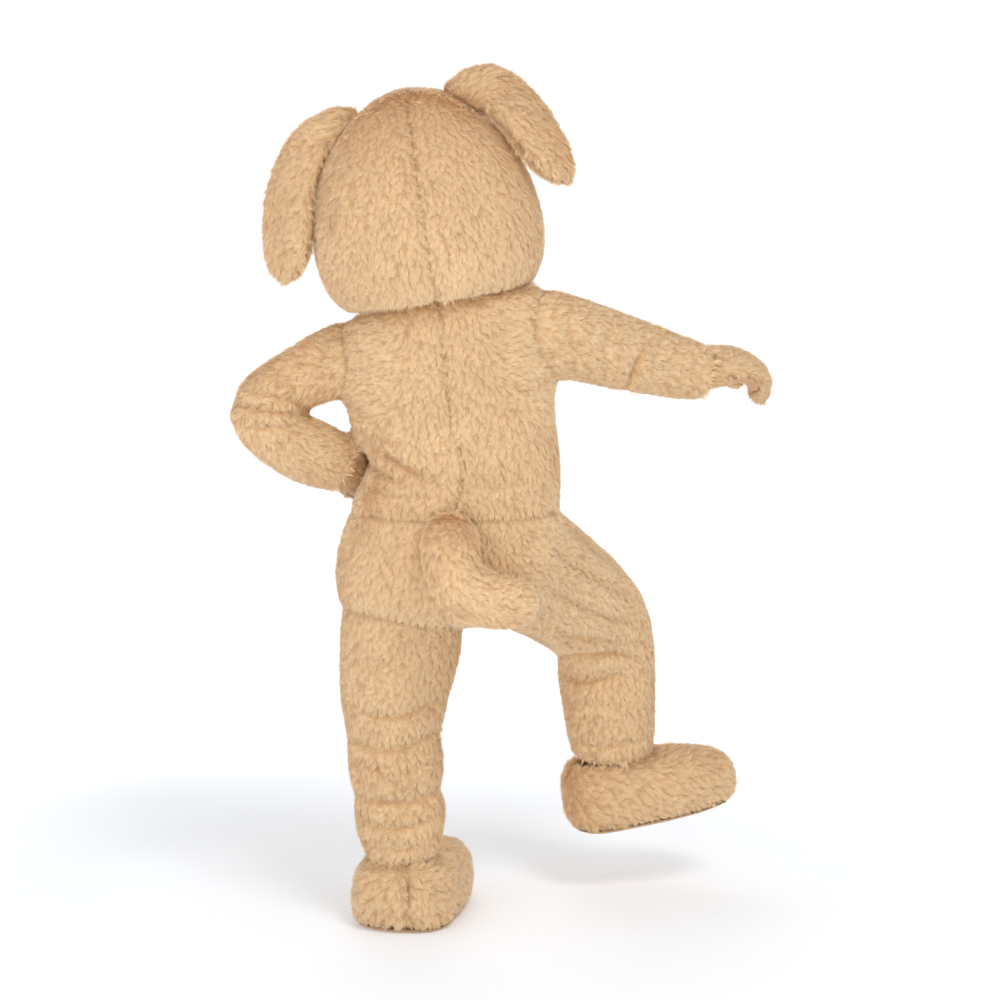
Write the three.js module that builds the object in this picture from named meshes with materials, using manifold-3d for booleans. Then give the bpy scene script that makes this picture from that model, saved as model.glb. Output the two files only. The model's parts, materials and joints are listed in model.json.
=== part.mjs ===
// A floppy-eared dog costume of curly plush: head, body with tail, gloves and foot covers, built hollow
// and whole in the pose in which it is worn. Millimetres, +Z up, the wearer faces -Y, and +X is the
// wearer's left. Heights are measured from the floor under the standing foot, and the origin is between
// the shoulders, where the wearer carries it.
import * as THREE from "three";
import { mergeVertices } from "three/addons/utils/BufferGeometryUtils.js";
import Module from "manifold-3d";

const wasm = await Module();
wasm.setup();

// Driving dimensions

const CARRIED_AT = 1400; // height of the shoulders' middle over the floor
const SEAM = 0.3; // between two pieces that are sewn together
const WALL = { head: 20, body: 13, limb: 13, glove: 10, foot: 15 }; // backing and pile together

// Facets round each form, and rings along it
const AROUND = {
  head: 28,
  trunk: 28,
  leg: 16,
  sleeve: 14,
  foot: 16,
  glove: 12,
  thumb: 8,
  ear: 12,
  tail: 12,
  muzzle: 16,
};
const RINGS = {
  seat: 9,
  body: 14,
  legLeft: 20,
  legRight: 17,
  sleeveLeft: 18,
  sleeveRight: 13,
  foot: 9,
  footCutter: 12,
  sole: 2,
  glove: 9,
  thumb: 4,
  tail: 17,
  muzzle: 8,
};

const NEAR = 0.09; // part of a row over which a form's direction is taken
const BACKWARD = new THREE.Vector3(0, 1, 0);
const UPWARD = new THREE.Vector3(0, 0, 1);

// Colours, roughness and metalness of the cloths and trims

const FINISH = {
  plush: { color: 0xe6c498, roughness: 0.95, metalness: 0 },
  palm: { color: 0xc99f76, roughness: 0.8, metalness: 0 },
  gloss: { color: 0x17130f, roughness: 0.15, metalness: 0 },
  sole: { color: 0x9b8468, roughness: 0.85, metalness: 0 },
};

// Reading the tables

function spline(a, b, c, d, t) {
  const bend = 2 * a - 5 * b + 4 * c - d;
  const twist = -a + 3 * b - 3 * c + d;
  return b + 0.5 * t * (c - a + t * (bend + t * twist));
}

// One column of a table at a fractional row, on a smooth curve through its rows
function column(rows, name, at) {
  const last = rows.length - 1;
  const low = Math.min(Math.max(Math.floor(at), 0), last - 1);
  const value = (k) => rows[Math.min(Math.max(k, 0), last)][name];
  return spline(value(low - 1), value(low), value(low + 1), value(low + 2), at - low);
}

// A soft form: oval rings along a centreline. A row gives a ring's centre, its half width, its depth to
// the front and to the back, and for an upright form how far its top leans to +X. Turns are in degrees
// about the centreline, with 90 towards the form's own back.
class Form {
  constructor({ rows, depth = 1, ...options }) {
    const { creases = [], back = BACKWARD, square = 2.2, start = 0, upright = false, place = null } = options;
    this.rows = rows.map((row) => ({
      lean: 0,
      ...row,
      front: row.front ?? row.wide * depth,
      back: row.back ?? row.wide * depth,
    }));
    this.creases = creases;
    this.backward = back;
    this.square = square;
    this.upright = upright;
    this.place = place;
    this.last = rows.length - 1;
    this.reach = [start];
    for (let k = 1; k <= this.last; k++)
      this.reach.push(this.reach[k - 1] + this.centre(k).distanceTo(this.centre(k - 1)));
  }

  centre(at) {
    return new THREE.Vector3(...["x", "y", "z"].map((name) => column(this.rows, name, at)));
  }

  // Millimetres along the centreline at a fractional row
  distance(at) {
    const low = Math.min(Math.floor(at), this.last - 1);
    return this.reach[low] + (at - low) * (this.reach[low + 1] - this.reach[low]);
  }

  // A fractional row moved by some millimetres along the centreline
  moved(at, mm) {
    const low = Math.min(Math.floor(at + Math.sign(mm) * 1e-6), this.last - 1);
    return at + mm / (this.reach[low + 1] - this.reach[low]);
  }

  frame(at) {
    const axis = new THREE.Vector3();
    if (this.upright) {
      const lean = THREE.MathUtils.degToRad(column(this.rows, "lean", at));
      axis.copy(UPWARD).applyAxisAngle(BACKWARD, lean);
    } else {
      const ahead = this.centre(Math.min(at + NEAR, this.last));
      axis.subVectors(ahead, this.centre(Math.max(at - NEAR, 0))).normalize();
    }
    const back = this.backward.clone().addScaledVector(axis, -this.backward.dot(axis)).normalize();
    return { axis, back, side: new THREE.Vector3().crossVectors(back, axis) };
  }

  // How far creases move the cloth at this place: troughs in, ridges out
  creased(at, turn, radius) {
    let moved = 0;
    for (const crease of this.creases) {
      const degrees = ((((turn - crease.turn + 180) % 360) + 360) % 360) - 180;
      const along = (THREE.MathUtils.degToRad(degrees) * radius) / crease.half;
      if (Math.abs(along) >= 1) continue;
      const off = this.distance(at) - crease.at - crease.slant * along * crease.half;
      moved += crease.depth * Math.exp(-((off / crease.width) ** 2)) * (1 - along ** 2) ** 2;
    }
    return moved;
  }

  smooth(at, turn) {
    const { side, back } = this.frame(at);
    const angle = THREE.MathUtils.degToRad(turn);
    const power = 2 / this.square;
    const across = Math.sign(Math.cos(angle)) * Math.abs(Math.cos(angle)) ** power;
    const deep = Math.sign(Math.sin(angle)) * Math.abs(Math.sin(angle)) ** power;
    const depth = column(this.rows, deep > 0 ? "back" : "front", at);
    return this.centre(at)
      .addScaledVector(side, Math.max(column(this.rows, "wide", at), 0) * across)
      .addScaledVector(back, Math.max(depth, 0) * deep);
  }

  outward(at, turn) {
    const low = Math.max(at - NEAR, 0);
    const high = Math.min(at + NEAR, this.last);
    const round = this.smooth(at, turn + 3).sub(this.smooth(at, turn - 3));
    const up = this.smooth(high, turn).sub(this.smooth(low, turn));
    const normal = round.cross(up);
    if (normal.length() > 1e-3) return normal.normalize();
    return this.frame(at).axis.multiplyScalar(at > this.last / 2 ? 1 : -1);
  }

  // The way round the form at a place, for moving a panel's edge off its seam
  along(at, turn) {
    const near = Math.min(Math.max(at, 2 * NEAR), this.last - 2 * NEAR);
    const way = this.smooth(near, turn + 1).sub(this.smooth(near, turn - 1)).normalize();
    return this.place ? way.transformDirection(this.place) : way;
  }

  // A point of the cloth's face, or that far outside it
  point(at, turn, out = 0) {
    const radius = column(this.rows, "wide", at);
    const found = this.smooth(at, turn);
    const moved = out + this.creased(at, turn, Math.max(radius, 1));
    found.addScaledVector(this.outward(at, turn), moved);
    return this.place ? found.applyMatrix4(this.place) : found;
  }
}

// Solids

function solidFrom(points, faces) {
  const kept = faces.filter(([a, b, c]) => {
    const [p, q, r] = [points[a], points[b], points[c]];
    return p.distanceTo(q) > 1e-4 && q.distanceTo(r) > 1e-4 && r.distanceTo(p) > 1e-4;
  });
  const geometry = new THREE.BufferGeometry().setFromPoints(points);
  geometry.setIndex(kept.flat());
  return solidOf(geometry);
}

function solidOf(geometry) {
  const bare = geometry.clone();
  bare.deleteAttribute("normal");
  bare.deleteAttribute("uv");
  const merged = mergeVertices(bare, 1e-4);
  const index = merged.index.array;
  const faces = [];
  for (let k = 0; k < index.length; k += 3) {
    const face = [index[k], index[k + 1], index[k + 2]];
    if (new Set(face).size === 3) faces.push(...face);
  }
  const vertProperties = new Float32Array(merged.attributes.position.array);
  return new wasm.Manifold(new wasm.Mesh({ numProp: 3, vertProperties, triVerts: new Uint32Array(faces) }));
}

// A square of two triangles, always split from its first corner, so that sheets over each other agree
function square(a, b, c, d) {
  return [[a, b, c], [a, c, d]];
}

// A piece of wall: an outer and an inner sheet of points, joined round its edges
function wallBetween(outer, inner, rings, columns, round) {
  const width = round ? columns : columns + 1;
  const points = [];
  for (const sheet of [outer, inner])
    for (let i = 0; i <= rings; i++) for (let j = 0; j < width; j++) points.push(sheet(i, j));
  const at = (layer, i, j) => (layer * (rings + 1) + i) * width + (round ? j % columns : j);
  const faces = [];
  for (let j = 0; j < columns; j++) {
    for (let i = 0; i < rings; i++) {
      faces.push(...square(at(0, i, j), at(0, i, j + 1), at(0, i + 1, j + 1), at(0, i + 1, j)));
      faces.push(...square(at(1, i, j), at(1, i + 1, j), at(1, i + 1, j + 1), at(1, i, j + 1)));
    }
    faces.push(...square(at(1, 0, j), at(1, 0, j + 1), at(0, 0, j + 1), at(0, 0, j)));
    faces.push(...square(at(1, rings, j + 1), at(1, rings, j), at(0, rings, j), at(0, rings, j + 1)));
  }
  for (let i = 0; i < rings && !round; i++) {
    faces.push(...square(at(1, i, 0), at(0, i, 0), at(0, i + 1, 0), at(1, i + 1, 0)));
    const end = width - 1;
    faces.push(...square(at(1, i, end), at(1, i + 1, end), at(0, i + 1, end), at(0, i, end)));
  }
  return solidFrom(points, faces);
}

// A panel of a form's wall, between two turns and two rows, short of its neighbours by half a seam
function panel(form, wall, { turns = null, from = 0, to = form.last, rings, columns }) {
  const round = !turns;
  const [first, end] = turns ?? [0, 360];
  const start = from > 0 ? form.moved(from, SEAM / 2) : from;
  const stop = to < form.last ? form.moved(to, -SEAM / 2) : to;
  const place = (out) => (i, j) => {
    const at = start + ((stop - start) * i) / rings;
    const turn = first + ((end - first) * j) / columns;
    const found = form.point(at, turn, out);
    if (round || (j > 0 && j < columns)) return found;
    return found.addScaledVector(form.along(at, turn), j === 0 ? SEAM / 2 : -SEAM / 2);
  };
  return wallBetween(place(0), place(-wall), rings, columns, round);
}

// A form filled to some distance outside its face, or inside it, with flat ends
function filled(form, out, { to = form.last, rings, columns, row = (i) => (to * i) / rings }) {
  const outer = (i, j) => form.point(row(i), (360 * j) / columns, out);
  const middle = (i) => {
    const sum = new THREE.Vector3();
    for (let j = 0; j < columns; j++) sum.add(outer(i, j));
    return sum.multiplyScalar(1 / columns);
  };
  const points = [middle(0), middle(rings)];
  for (let i = 0; i <= rings; i++) for (let j = 0; j < columns; j++) points.push(outer(i, j));
  const at = (i, j) => 2 + i * columns + (j % columns);
  const faces = [];
  for (let j = 0; j < columns; j++) {
    faces.push([0, at(0, j + 1), at(0, j)], [1, at(rings, j), at(rings, j + 1)]);
    for (let i = 0; i < rings; i++)
      faces.push(...square(at(i, j), at(i, j + 1), at(i + 1, j + 1), at(i + 1, j)));
  }
  return solidFrom(points, faces);
}

// What is left of a piece's main body after its neighbours are cut away
function trimmed(solid, ...cutters) {
  const cut = cutters.reduce((left, cutter) => left.subtract(cutter), solid);
  const bodies = cut.decompose().sort((a, b) => b.volume() - a.volume());
  return bodies[0];
}

// Trunk: from the crotch up to the shoulders, which lean with the dance step

const TRUNK_START = 664;
const WAIST_ROW = 7;
const trunk = new Form({
  start: TRUNK_START,
  upright: true,
  rows: [
    { z: 664, x: -32, y: -5, wide: 0, front: 0, back: 0, lean: 0 },
    { z: 667, x: -18, y: -3, wide: 104, front: 66, back: 70, lean: 0 },
    { z: 681, x: 4, y: 0, wide: 188, front: 112, back: 122, lean: 0 },
    { z: 706, x: 12, y: 0, wide: 226, front: 138, back: 152, lean: 0 },
    { z: 745, x: 7, y: 0, wide: 244, front: 156, back: 172, lean: 0 },
    { z: 798, x: 2, y: 0, wide: 251, front: 168, back: 180, lean: 0 },
    { z: 856, x: -5, y: 0, wide: 245, front: 173, back: 174, lean: 0 },
    { z: 914, x: -10, y: 0, wide: 229, front: 176, back: 163, lean: 0 },
    { z: 968, x: -20, y: 0, wide: 220, front: 180, back: 155, lean: 0 },
    { z: 1022, x: -36, y: 0, wide: 205, front: 182, back: 150, lean: 1 },
    { z: 1088, x: -10, y: 0, wide: 220, front: 182, back: 152, lean: 3 },
    { z: 1160, x: 0, y: 0, wide: 226, front: 180, back: 156, lean: 5 },
    { z: 1232, x: 8, y: 0, wide: 230, front: 172, back: 156, lean: 8 },
    { z: 1296, x: 14, y: 0, wide: 230, front: 160, back: 152, lean: 10 },
    { z: 1340, x: 20, y: 0, wide: 226, front: 150, back: 148, lean: 12 },
    { z: 1364, x: 25, y: 0, wide: 202, front: 138, back: 138, lean: 12 },
    { z: 1378, x: 28, y: 0, wide: 150, front: 122, back: 122, lean: 12 },
  ],
  creases: [
    { at: 905, turn: 62, slant: -0.1, half: 150, width: 16, depth: -6 },
    { at: 938, turn: 116, slant: 0.22, half: 120, width: 15, depth: -6 },
    { at: 1010, turn: 40, slant: -0.75, half: 170, width: 17, depth: -9 },
    { at: 1052, turn: 34, slant: -0.6, half: 130, width: 17, depth: 8 },
    { at: 965, turn: 38, slant: -0.35, half: 120, width: 16, depth: 8 },
    { at: 1005, turn: 118, slant: 0.15, half: 110, width: 18, depth: -5 },
    { at: 1150, turn: 28, slant: -0.8, half: 110, width: 18, depth: -6 },
    { at: 1000, turn: 250, slant: 0.25, half: 190, width: 20, depth: -8 },
    { at: 955, turn: 285, slant: -0.2, half: 180, width: 18, depth: -7 },
    { at: 1075, turn: 320, slant: 0.3, half: 130, width: 18, depth: -7 },
    { at: 850, turn: 205, slant: 0.5, half: 120, width: 18, depth: -8 },
    { at: 815, turn: 232, slant: 0.45, half: 120, width: 18, depth: -7 },
  ],
});
function trunkRow(i) {
  if (i <= RINGS.seat) return (WAIST_ROW * i) / RINGS.seat;
  return WAIST_ROW + ((trunk.last - WAIST_ROW) * (i - RINGS.seat)) / RINGS.body;
}

// Legs, from the cuff up into the seat

const legLeft = new Form({
  start: 142,
  depth: 0.97,
  rows: [
    { z: 142, x: 102, y: 14, wide: 68 },
    { z: 160, x: 105, y: 14, wide: 84 },
    { z: 187, x: 107, y: 13, wide: 93 },
    { z: 222, x: 111, y: 11, wide: 101 },
    { z: 254, x: 112, y: 10, wide: 106 },
    { z: 290, x: 118, y: 8, wide: 96 },
    { z: 330, x: 120, y: 6, wide: 107 },
    { z: 370, x: 121, y: 4, wide: 110 },
    { z: 416, x: 128, y: 2, wide: 104 },
    { z: 462, x: 125, y: 0, wide: 116 },
    { z: 512, x: 124, y: -2, wide: 122 },
    { z: 568, x: 117, y: -3, wide: 131 },
    { z: 632, x: 108, y: -3, wide: 137 },
    { z: 700, x: 108, y: 0, wide: 132 },
    { z: 770, x: 106, y: 2, wide: 122 },
  ],
  creases: [
    { at: 498, turn: 60, slant: 0.35, half: 95, width: 15, depth: -11 },
    { at: 470, turn: 118, slant: -0.4, half: 100, width: 15, depth: -11 },
    { at: 420, turn: 72, slant: -0.3, half: 120, width: 14, depth: -12 },
    { at: 402, turn: 128, slant: 0.5, half: 80, width: 13, depth: -10 },
    { at: 352, turn: 104, slant: 0.35, half: 110, width: 13, depth: 9 },
    { at: 322, turn: 52, slant: -0.3, half: 80, width: 13, depth: -8 },
    { at: 292, turn: 96, slant: 0.4, half: 130, width: 14, depth: -13 },
    { at: 240, turn: 84, slant: -0.35, half: 110, width: 12, depth: -11 },
    { at: 196, turn: 112, slant: 0.2, half: 110, width: 11, depth: -8 },
    { at: 440, turn: 262, slant: 0.3, half: 130, width: 15, depth: -11 },
    { at: 376, turn: 286, slant: -0.3, half: 120, width: 14, depth: -12 },
    { at: 310, turn: 250, slant: 0.35, half: 120, width: 14, depth: -11 },
    { at: 246, turn: 292, slant: -0.25, half: 110, width: 13, depth: -10 },
    { at: 196, turn: 262, slant: 0.15, half: 100, width: 11, depth: -7 },
    { at: 560, turn: 300, slant: 0.3, half: 110, width: 16, depth: -8 },
  ],
});

const legRight = new Form({
  depth: 0.97,
  rows: [
    { x: -368, y: -290, z: 302, wide: 80 },
    { x: -368, y: -290, z: 320, wide: 97 },
    { x: -365, y: -290, z: 350, wide: 104 },
    { x: -361, y: -290, z: 390, wide: 107 },
    { x: -358, y: -290, z: 440, wide: 112 },
    { x: -353, y: -291, z: 495, wide: 116 },
    { x: -351, y: -288, z: 548, wide: 115 },
    { x: -342, y: -273, z: 600, wide: 119 },
    { x: -314, y: -236, z: 650, wide: 125 },
    { x: -266, y: -180, z: 699, wide: 131 },
    { x: -212, y: -112, z: 745, wide: 136 },
    { x: -160, y: -52, z: 790, wide: 140 },
    { x: -118, y: -6, z: 832, wide: 130 },
  ],
  creases: [
    { at: 42, turn: 96, slant: 0.1, half: 120, width: 11, depth: -7 },
    { at: 92, turn: 60, slant: 0.35, half: 70, width: 12, depth: -6 },
    { at: 128, turn: 128, slant: -0.3, half: 80, width: 13, depth: -6 },
    { at: 232, turn: 88, slant: 0.12, half: 125, width: 14, depth: -15 },
    { at: 262, turn: 100, slant: -0.15, half: 110, width: 13, depth: 8 },
    { at: 290, turn: 92, slant: 0.1, half: 115, width: 13, depth: -12 },
    { at: 352, turn: 112, slant: 0.3, half: 110, width: 14, depth: -10 },
    { at: 398, turn: 122, slant: 0.35, half: 120, width: 15, depth: -10 },
    { at: 440, turn: 140, slant: 0.4, half: 120, width: 15, depth: -10 },
    { at: 486, turn: 150, slant: 0.35, half: 110, width: 15, depth: -9 },
    { at: 330, turn: 262, slant: 0.1, half: 110, width: 20, depth: 8 },
    { at: 440, turn: 280, slant: -0.3, half: 110, width: 15, depth: -9 },
    { at: 180, turn: 262, slant: 0.25, half: 110, width: 14, depth: -8 },
    { at: 60, turn: 270, slant: -0.1, half: 110, width: 12, depth: -7 },
  ],
});

// Sleeves, from inside the shoulder to the cuff. The left one bends right round, with the hand on the hip.

const sleeveLeft = new Form({
  rows: [
    { x: 168, y: -4, z: 1256, wide: 84, front: 82, back: 82 },
    { x: 214, y: -2, z: 1244, wide: 83, front: 82, back: 82 },
    { x: 260, y: 8, z: 1228, wide: 79, front: 81, back: 81 },
    { x: 304, y: 26, z: 1210, wide: 71, front: 80, back: 80 },
    { x: 344, y: 46, z: 1194, wide: 64, front: 79, back: 79 },
    { x: 380, y: 66, z: 1170, wide: 63, front: 79, back: 79 },
    { x: 403, y: 78, z: 1134, wide: 67, front: 79, back: 79 },
    { x: 388, y: 72, z: 1098, wide: 64, front: 79, back: 79 },
    { x: 356, y: 54, z: 1072, wide: 67, front: 78, back: 78 },
    { x: 314, y: 28, z: 1049, wide: 74, front: 76, back: 76 },
    { x: 272, y: -2, z: 1027, wide: 71, front: 70, back: 70 },
    { x: 243, y: -22, z: 1011, wide: 63, front: 62, back: 62 },
  ],
  creases: [
    { at: 74, turn: 92, slant: 0.05, half: 82, width: 12, depth: -8 },
    { at: 104, turn: 100, slant: -0.25, half: 80, width: 12, depth: -6 },
    { at: 170, turn: 78, slant: -0.35, half: 95, width: 12, depth: -9 },
    { at: 214, turn: 74, slant: -0.2, half: 100, width: 12, depth: -11 },
    { at: 240, turn: 70, slant: 0, half: 100, width: 11, depth: 7 },
    { at: 262, turn: 74, slant: 0.1, half: 100, width: 12, depth: -12 },
    { at: 302, turn: 74, slant: 0.3, half: 95, width: 12, depth: -9 },
    { at: 400, turn: 100, slant: -0.2, half: 70, width: 13, depth: -5 },
    { at: 232, turn: 282, slant: 0.2, half: 90, width: 13, depth: -9 },
    { at: 286, turn: 290, slant: -0.2, half: 85, width: 13, depth: -8 },
    { at: 150, turn: 262, slant: 0.3, half: 85, width: 13, depth: -7 },
  ],
});

const sleeveRight = new Form({
  rows: [
    { x: -150, y: -2, z: 1298, wide: 97 },
    { x: -196, y: -4, z: 1296, wide: 99 },
    { x: -242, y: -14, z: 1288, wide: 94 },
    { x: -288, y: -42, z: 1277, wide: 90 },
    { x: -334, y: -76, z: 1262, wide: 87 },
    { x: -382, y: -108, z: 1247, wide: 85 },
    { x: -430, y: -134, z: 1234, wide: 79 },
    { x: -476, y: -155, z: 1221, wide: 75 },
    { x: -520, y: -171, z: 1209, wide: 71 },
    { x: -562, y: -184, z: 1199, wide: 63 },
  ],
  creases: [
    { at: 78, turn: 92, slant: 0.1, half: 82, width: 11, depth: -9 },
    { at: 128, turn: 66, slant: -0.35, half: 80, width: 12, depth: -9 },
    { at: 158, turn: 110, slant: -0.3, half: 70, width: 12, depth: -6 },
    { at: 212, turn: 60, slant: -0.1, half: 60, width: 12, depth: -5 },
    { at: 268, turn: 118, slant: -0.25, half: 100, width: 12, depth: -12 },
    { at: 296, turn: 96, slant: -0.2, half: 70, width: 12, depth: 7 },
    { at: 352, turn: 88, slant: 0.2, half: 60, width: 11, depth: -5 },
    { at: 398, turn: 102, slant: 0.25, half: 70, width: 11, depth: -7 },
    { at: 180, turn: 262, slant: 0.3, half: 90, width: 13, depth: -8 },
    { at: 262, turn: 246, slant: -0.2, half: 90, width: 13, depth: -9 },
    { at: 350, turn: 284, slant: 0.25, half: 80, width: 12, depth: -7 },
  ],
});

// Head, in its own upright frame and then leaned over to the wearer's left

const HEAD_BASE = new THREE.Vector3(24, 0, 1364);
const HEAD_LEAN = THREE.MathUtils.degToRad(8.7);
const headPlace = new THREE.Matrix4().makeRotationY(HEAD_LEAN).setPosition(HEAD_BASE);
const CROWN_SEAM_ROW = 13;
const head = new Form({
  place: headPlace,
  upright: true,
  depth: 0.92,
  square: 2.25,
  rows: [
    { z: 10, x: 0, y: 0, wide: 148 },
    { z: 4, x: 0, y: 0, wide: 176 },
    { z: 10, x: 0, y: 0, wide: 201 },
    { z: 32, x: 0, y: 0, wide: 220 },
    { z: 66, x: 0, y: 0, wide: 237 },
    { z: 108, x: 0, y: 0, wide: 245 },
    { z: 152, x: 0, y: 0, wide: 246 },
    { z: 197, x: 0, y: 0, wide: 241 },
    { z: 242, x: 0, y: 0, wide: 231 },
    { z: 288, x: 0, y: 0, wide: 214 },
    { z: 334, x: 0, y: 0, wide: 189 },
    { z: 376, x: 0, y: 0, wide: 156 },
    { z: 414, x: 0, y: 0, wide: 114 },
    { z: 440, x: 0, y: 0, wide: 70 },
    { z: 454, x: 0, y: 0, wide: 32 },
    { z: 458, x: 0, y: 0, wide: 0 },
  ],
});

// Face: a rounded muzzle with a nose, and two plain domed eyes

const MUZZLE_HEIGHT = 158;
const muzzle = new Form({
  place: headPlace,
  back: UPWARD,
  depth: 0.8,
  rows: [
    { x: 0, y: -150, z: MUZZLE_HEIGHT, wide: 118 },
    { x: 0, y: -215, z: MUZZLE_HEIGHT, wide: 120 },
    { x: 0, y: -255, z: MUZZLE_HEIGHT, wide: 112 },
    { x: 0, y: -288, z: MUZZLE_HEIGHT, wide: 92 },
    { x: 0, y: -309, z: MUZZLE_HEIGHT, wide: 58 },
    { x: 0, y: -316, z: MUZZLE_HEIGHT, wide: 0 },
  ],
});
const NOSE = { x: 0, y: -294, z: 218, half: new THREE.Vector3(36, 25, 24) };
const EYE = { side: 86, y: -184, z: 264, half: new THREE.Vector3(29, 22, 35) };

// Ears: flat padded leaves that hang from the top of the head and fly out with the dance

const earLeft = new Form({
  upright: true,
  back: new THREE.Vector3(0.67, 0.74, 0.1),
  rows: [
    { x: 192, y: -4, z: 1734, wide: 46, front: 22, back: 22, lean: 95 },
    { x: 238, y: -2, z: 1730, wide: 54, front: 25, back: 25, lean: 112 },
    { x: 282, y: 4, z: 1704, wide: 60, front: 26, back: 26, lean: 132 },
    { x: 312, y: 10, z: 1658, wide: 70, front: 27, back: 27, lean: 150 },
    { x: 332, y: 16, z: 1600, wide: 77, front: 27, back: 27, lean: 163 },
    { x: 341, y: 20, z: 1538, wide: 79, front: 26, back: 26, lean: 171 },
    { x: 346, y: 22, z: 1476, wide: 72, front: 24, back: 24, lean: 175 },
    { x: 350, y: 22, z: 1426, wide: 50, front: 19, back: 19, lean: 177 },
    { x: 352, y: 22, z: 1396, wide: 0, front: 0, back: 0, lean: 178 },
  ],
});
const earRight = new Form({
  upright: true,
  back: new THREE.Vector3(-0.62, 0.62, 0.5),
  rows: [
    { x: 0, y: 2, z: 1772, wide: 48, front: 22, back: 22, lean: -68 },
    { x: -44, y: 4, z: 1806, wide: 62, front: 24, back: 24, lean: -84 },
    { x: -86, y: 12, z: 1812, wide: 72, front: 25, back: 25, lean: -104 },
    { x: -126, y: 26, z: 1786, wide: 74, front: 26, back: 26, lean: -122 },
    { x: -166, y: 42, z: 1740, wide: 75, front: 26, back: 26, lean: -135 },
    { x: -200, y: 58, z: 1688, wide: 71, front: 25, back: 25, lean: -144 },
    { x: -232, y: 72, z: 1642, wide: 50, front: 20, back: 20, lean: -147 },
    { x: -258, y: 80, z: 1608, wide: 0, front: 0, back: 0, lean: -148 },
  ],
});

// Tail: a stuffed tube that leaves the seat under the waist seam and curls to the wearer's right

const tail = new Form({
  back: UPWARD,
  square: 2,
  rows: [
    { x: -2, y: 126, z: 868, wide: 57 },
    { x: -2, y: 172, z: 874, wide: 58 },
    { x: -3, y: 215, z: 862, wide: 59 },
    { x: -7, y: 245, z: 832, wide: 59 },
    { x: -20, y: 255, z: 797, wide: 59 },
    { x: -47, y: 254, z: 771, wide: 59 },
    { x: -84, y: 250, z: 755, wide: 57 },
    { x: -122, y: 245, z: 749, wide: 53 },
    { x: -154, y: 241, z: 748, wide: 45 },
    { x: -174, y: 239, z: 748, wide: 28 },
    { x: -181, y: 239, z: 748, wide: 0 },
  ],
});

// Foot covers, in their own frame: the toe points to -Y, and z is 0 under the sole

const FOOT_ROWS = [
  { z: 0, x: 0, y: 0, wide: 94, front: 262, back: 76 },
  { z: 10, x: 0, y: 0, wide: 108, front: 288, back: 91 },
  { z: 40, x: 0, y: 0, wide: 115, front: 307, back: 100 },
  { z: 78, x: 0, y: 0, wide: 114, front: 308, back: 101 },
  { z: 110, x: 0, y: 0, wide: 107, front: 291, back: 97 },
  { z: 130, x: 0, y: 0, wide: 97, front: 256, back: 91 },
  { z: 141, x: 0, y: 0, wide: 86, front: 200, back: 85 },
  { z: 148, x: 0, y: 0, wide: 77, front: 124, back: 79 },
  { z: 156, x: 0, y: 0, wide: 64, front: 66, back: 66 },
];
const SOLE_ROW = 0.9;
const footLeft = new Form({
  rows: FOOT_ROWS,
  upright: true,
  square: 2.5,
  place: new THREE.Matrix4().makeRotationZ(THREE.MathUtils.degToRad(-15)).setPosition(102, 8, 0),
});
const footRight = new Form({
  rows: FOOT_ROWS,
  upright: true,
  square: 2.5,
  place: new THREE.Matrix4()
    .makeTranslation(-364, -292, 150)
    .multiply(new THREE.Matrix4().makeRotationZ(THREE.MathUtils.degToRad(-82)))
    .multiply(new THREE.Matrix4().makeRotationX(THREE.MathUtils.degToRad(-9))),
});

// Gloves: mittens with a thumb, the left hand laid round the hip, the right one curled over

const gloveLeft = new Form({
  back: new THREE.Vector3(1, -0.25, 0.1),
  square: 2.3,
  rows: [
    { x: 262, y: -6, z: 1018, wide: 50, front: 36, back: 36 },
    { x: 238, y: -28, z: 1008, wide: 52, front: 36, back: 36 },
    { x: 222, y: -60, z: 1000, wide: 58, front: 36, back: 36 },
    { x: 206, y: -98, z: 990, wide: 62, front: 35, back: 35 },
    { x: 182, y: -136, z: 978, wide: 62, front: 33, back: 33 },
    { x: 150, y: -168, z: 966, wide: 54, front: 29, back: 29 },
    { x: 120, y: -192, z: 957, wide: 34, front: 20, back: 20 },
    { x: 106, y: -201, z: 953, wide: 0, front: 0, back: 0 },
  ],
});
const thumbLeft = new Form({
  back: new THREE.Vector3(1, -0.25, 0.1),
  rows: [
    { x: 206, y: -88, z: 1008, wide: 28, front: 27, back: 27 },
    { x: 197, y: -104, z: 1036, wide: 28, front: 27, back: 27 },
    { x: 190, y: -117, z: 1060, wide: 23, front: 22, back: 22 },
    { x: 187, y: -123, z: 1076, wide: 0, front: 0, back: 0 },
  ],
});
const gloveRight = new Form({
  back: new THREE.Vector3(-0.6, 0.15, 0.8),
  square: 2.3,
  rows: [
    { x: -540, y: -176, z: 1206, wide: 50, front: 40, back: 40 },
    { x: -578, y: -190, z: 1212, wide: 54, front: 36, back: 38 },
    { x: -616, y: -206, z: 1217, wide: 62, front: 32, back: 34 },
    { x: -652, y: -220, z: 1211, wide: 66, front: 30, back: 32 },
    { x: -680, y: -230, z: 1191, wide: 64, front: 28, back: 31 },
    { x: -691, y: -236, z: 1166, wide: 56, front: 26, back: 28 },
    { x: -685, y: -238, z: 1144, wide: 40, front: 21, back: 22 },
    { x: -677, y: -238, z: 1131, wide: 0, front: 0, back: 0 },
  ],
});
const thumbRight = new Form({
  back: new THREE.Vector3(-0.6, 0.15, 0.8),
  rows: [
    { x: -604, y: -236, z: 1206, wide: 28, front: 26, back: 27 },
    { x: -624, y: -272, z: 1196, wide: 28, front: 26, back: 27 },
    { x: -646, y: -296, z: 1178, wide: 23, front: 21, back: 22 },
    { x: -658, y: -306, z: 1166, wide: 0, front: 0, back: 0 },
  ],
});

// Filled forms that cut their neighbours: bores make the armholes and leg holes, grown forms the seams

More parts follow.
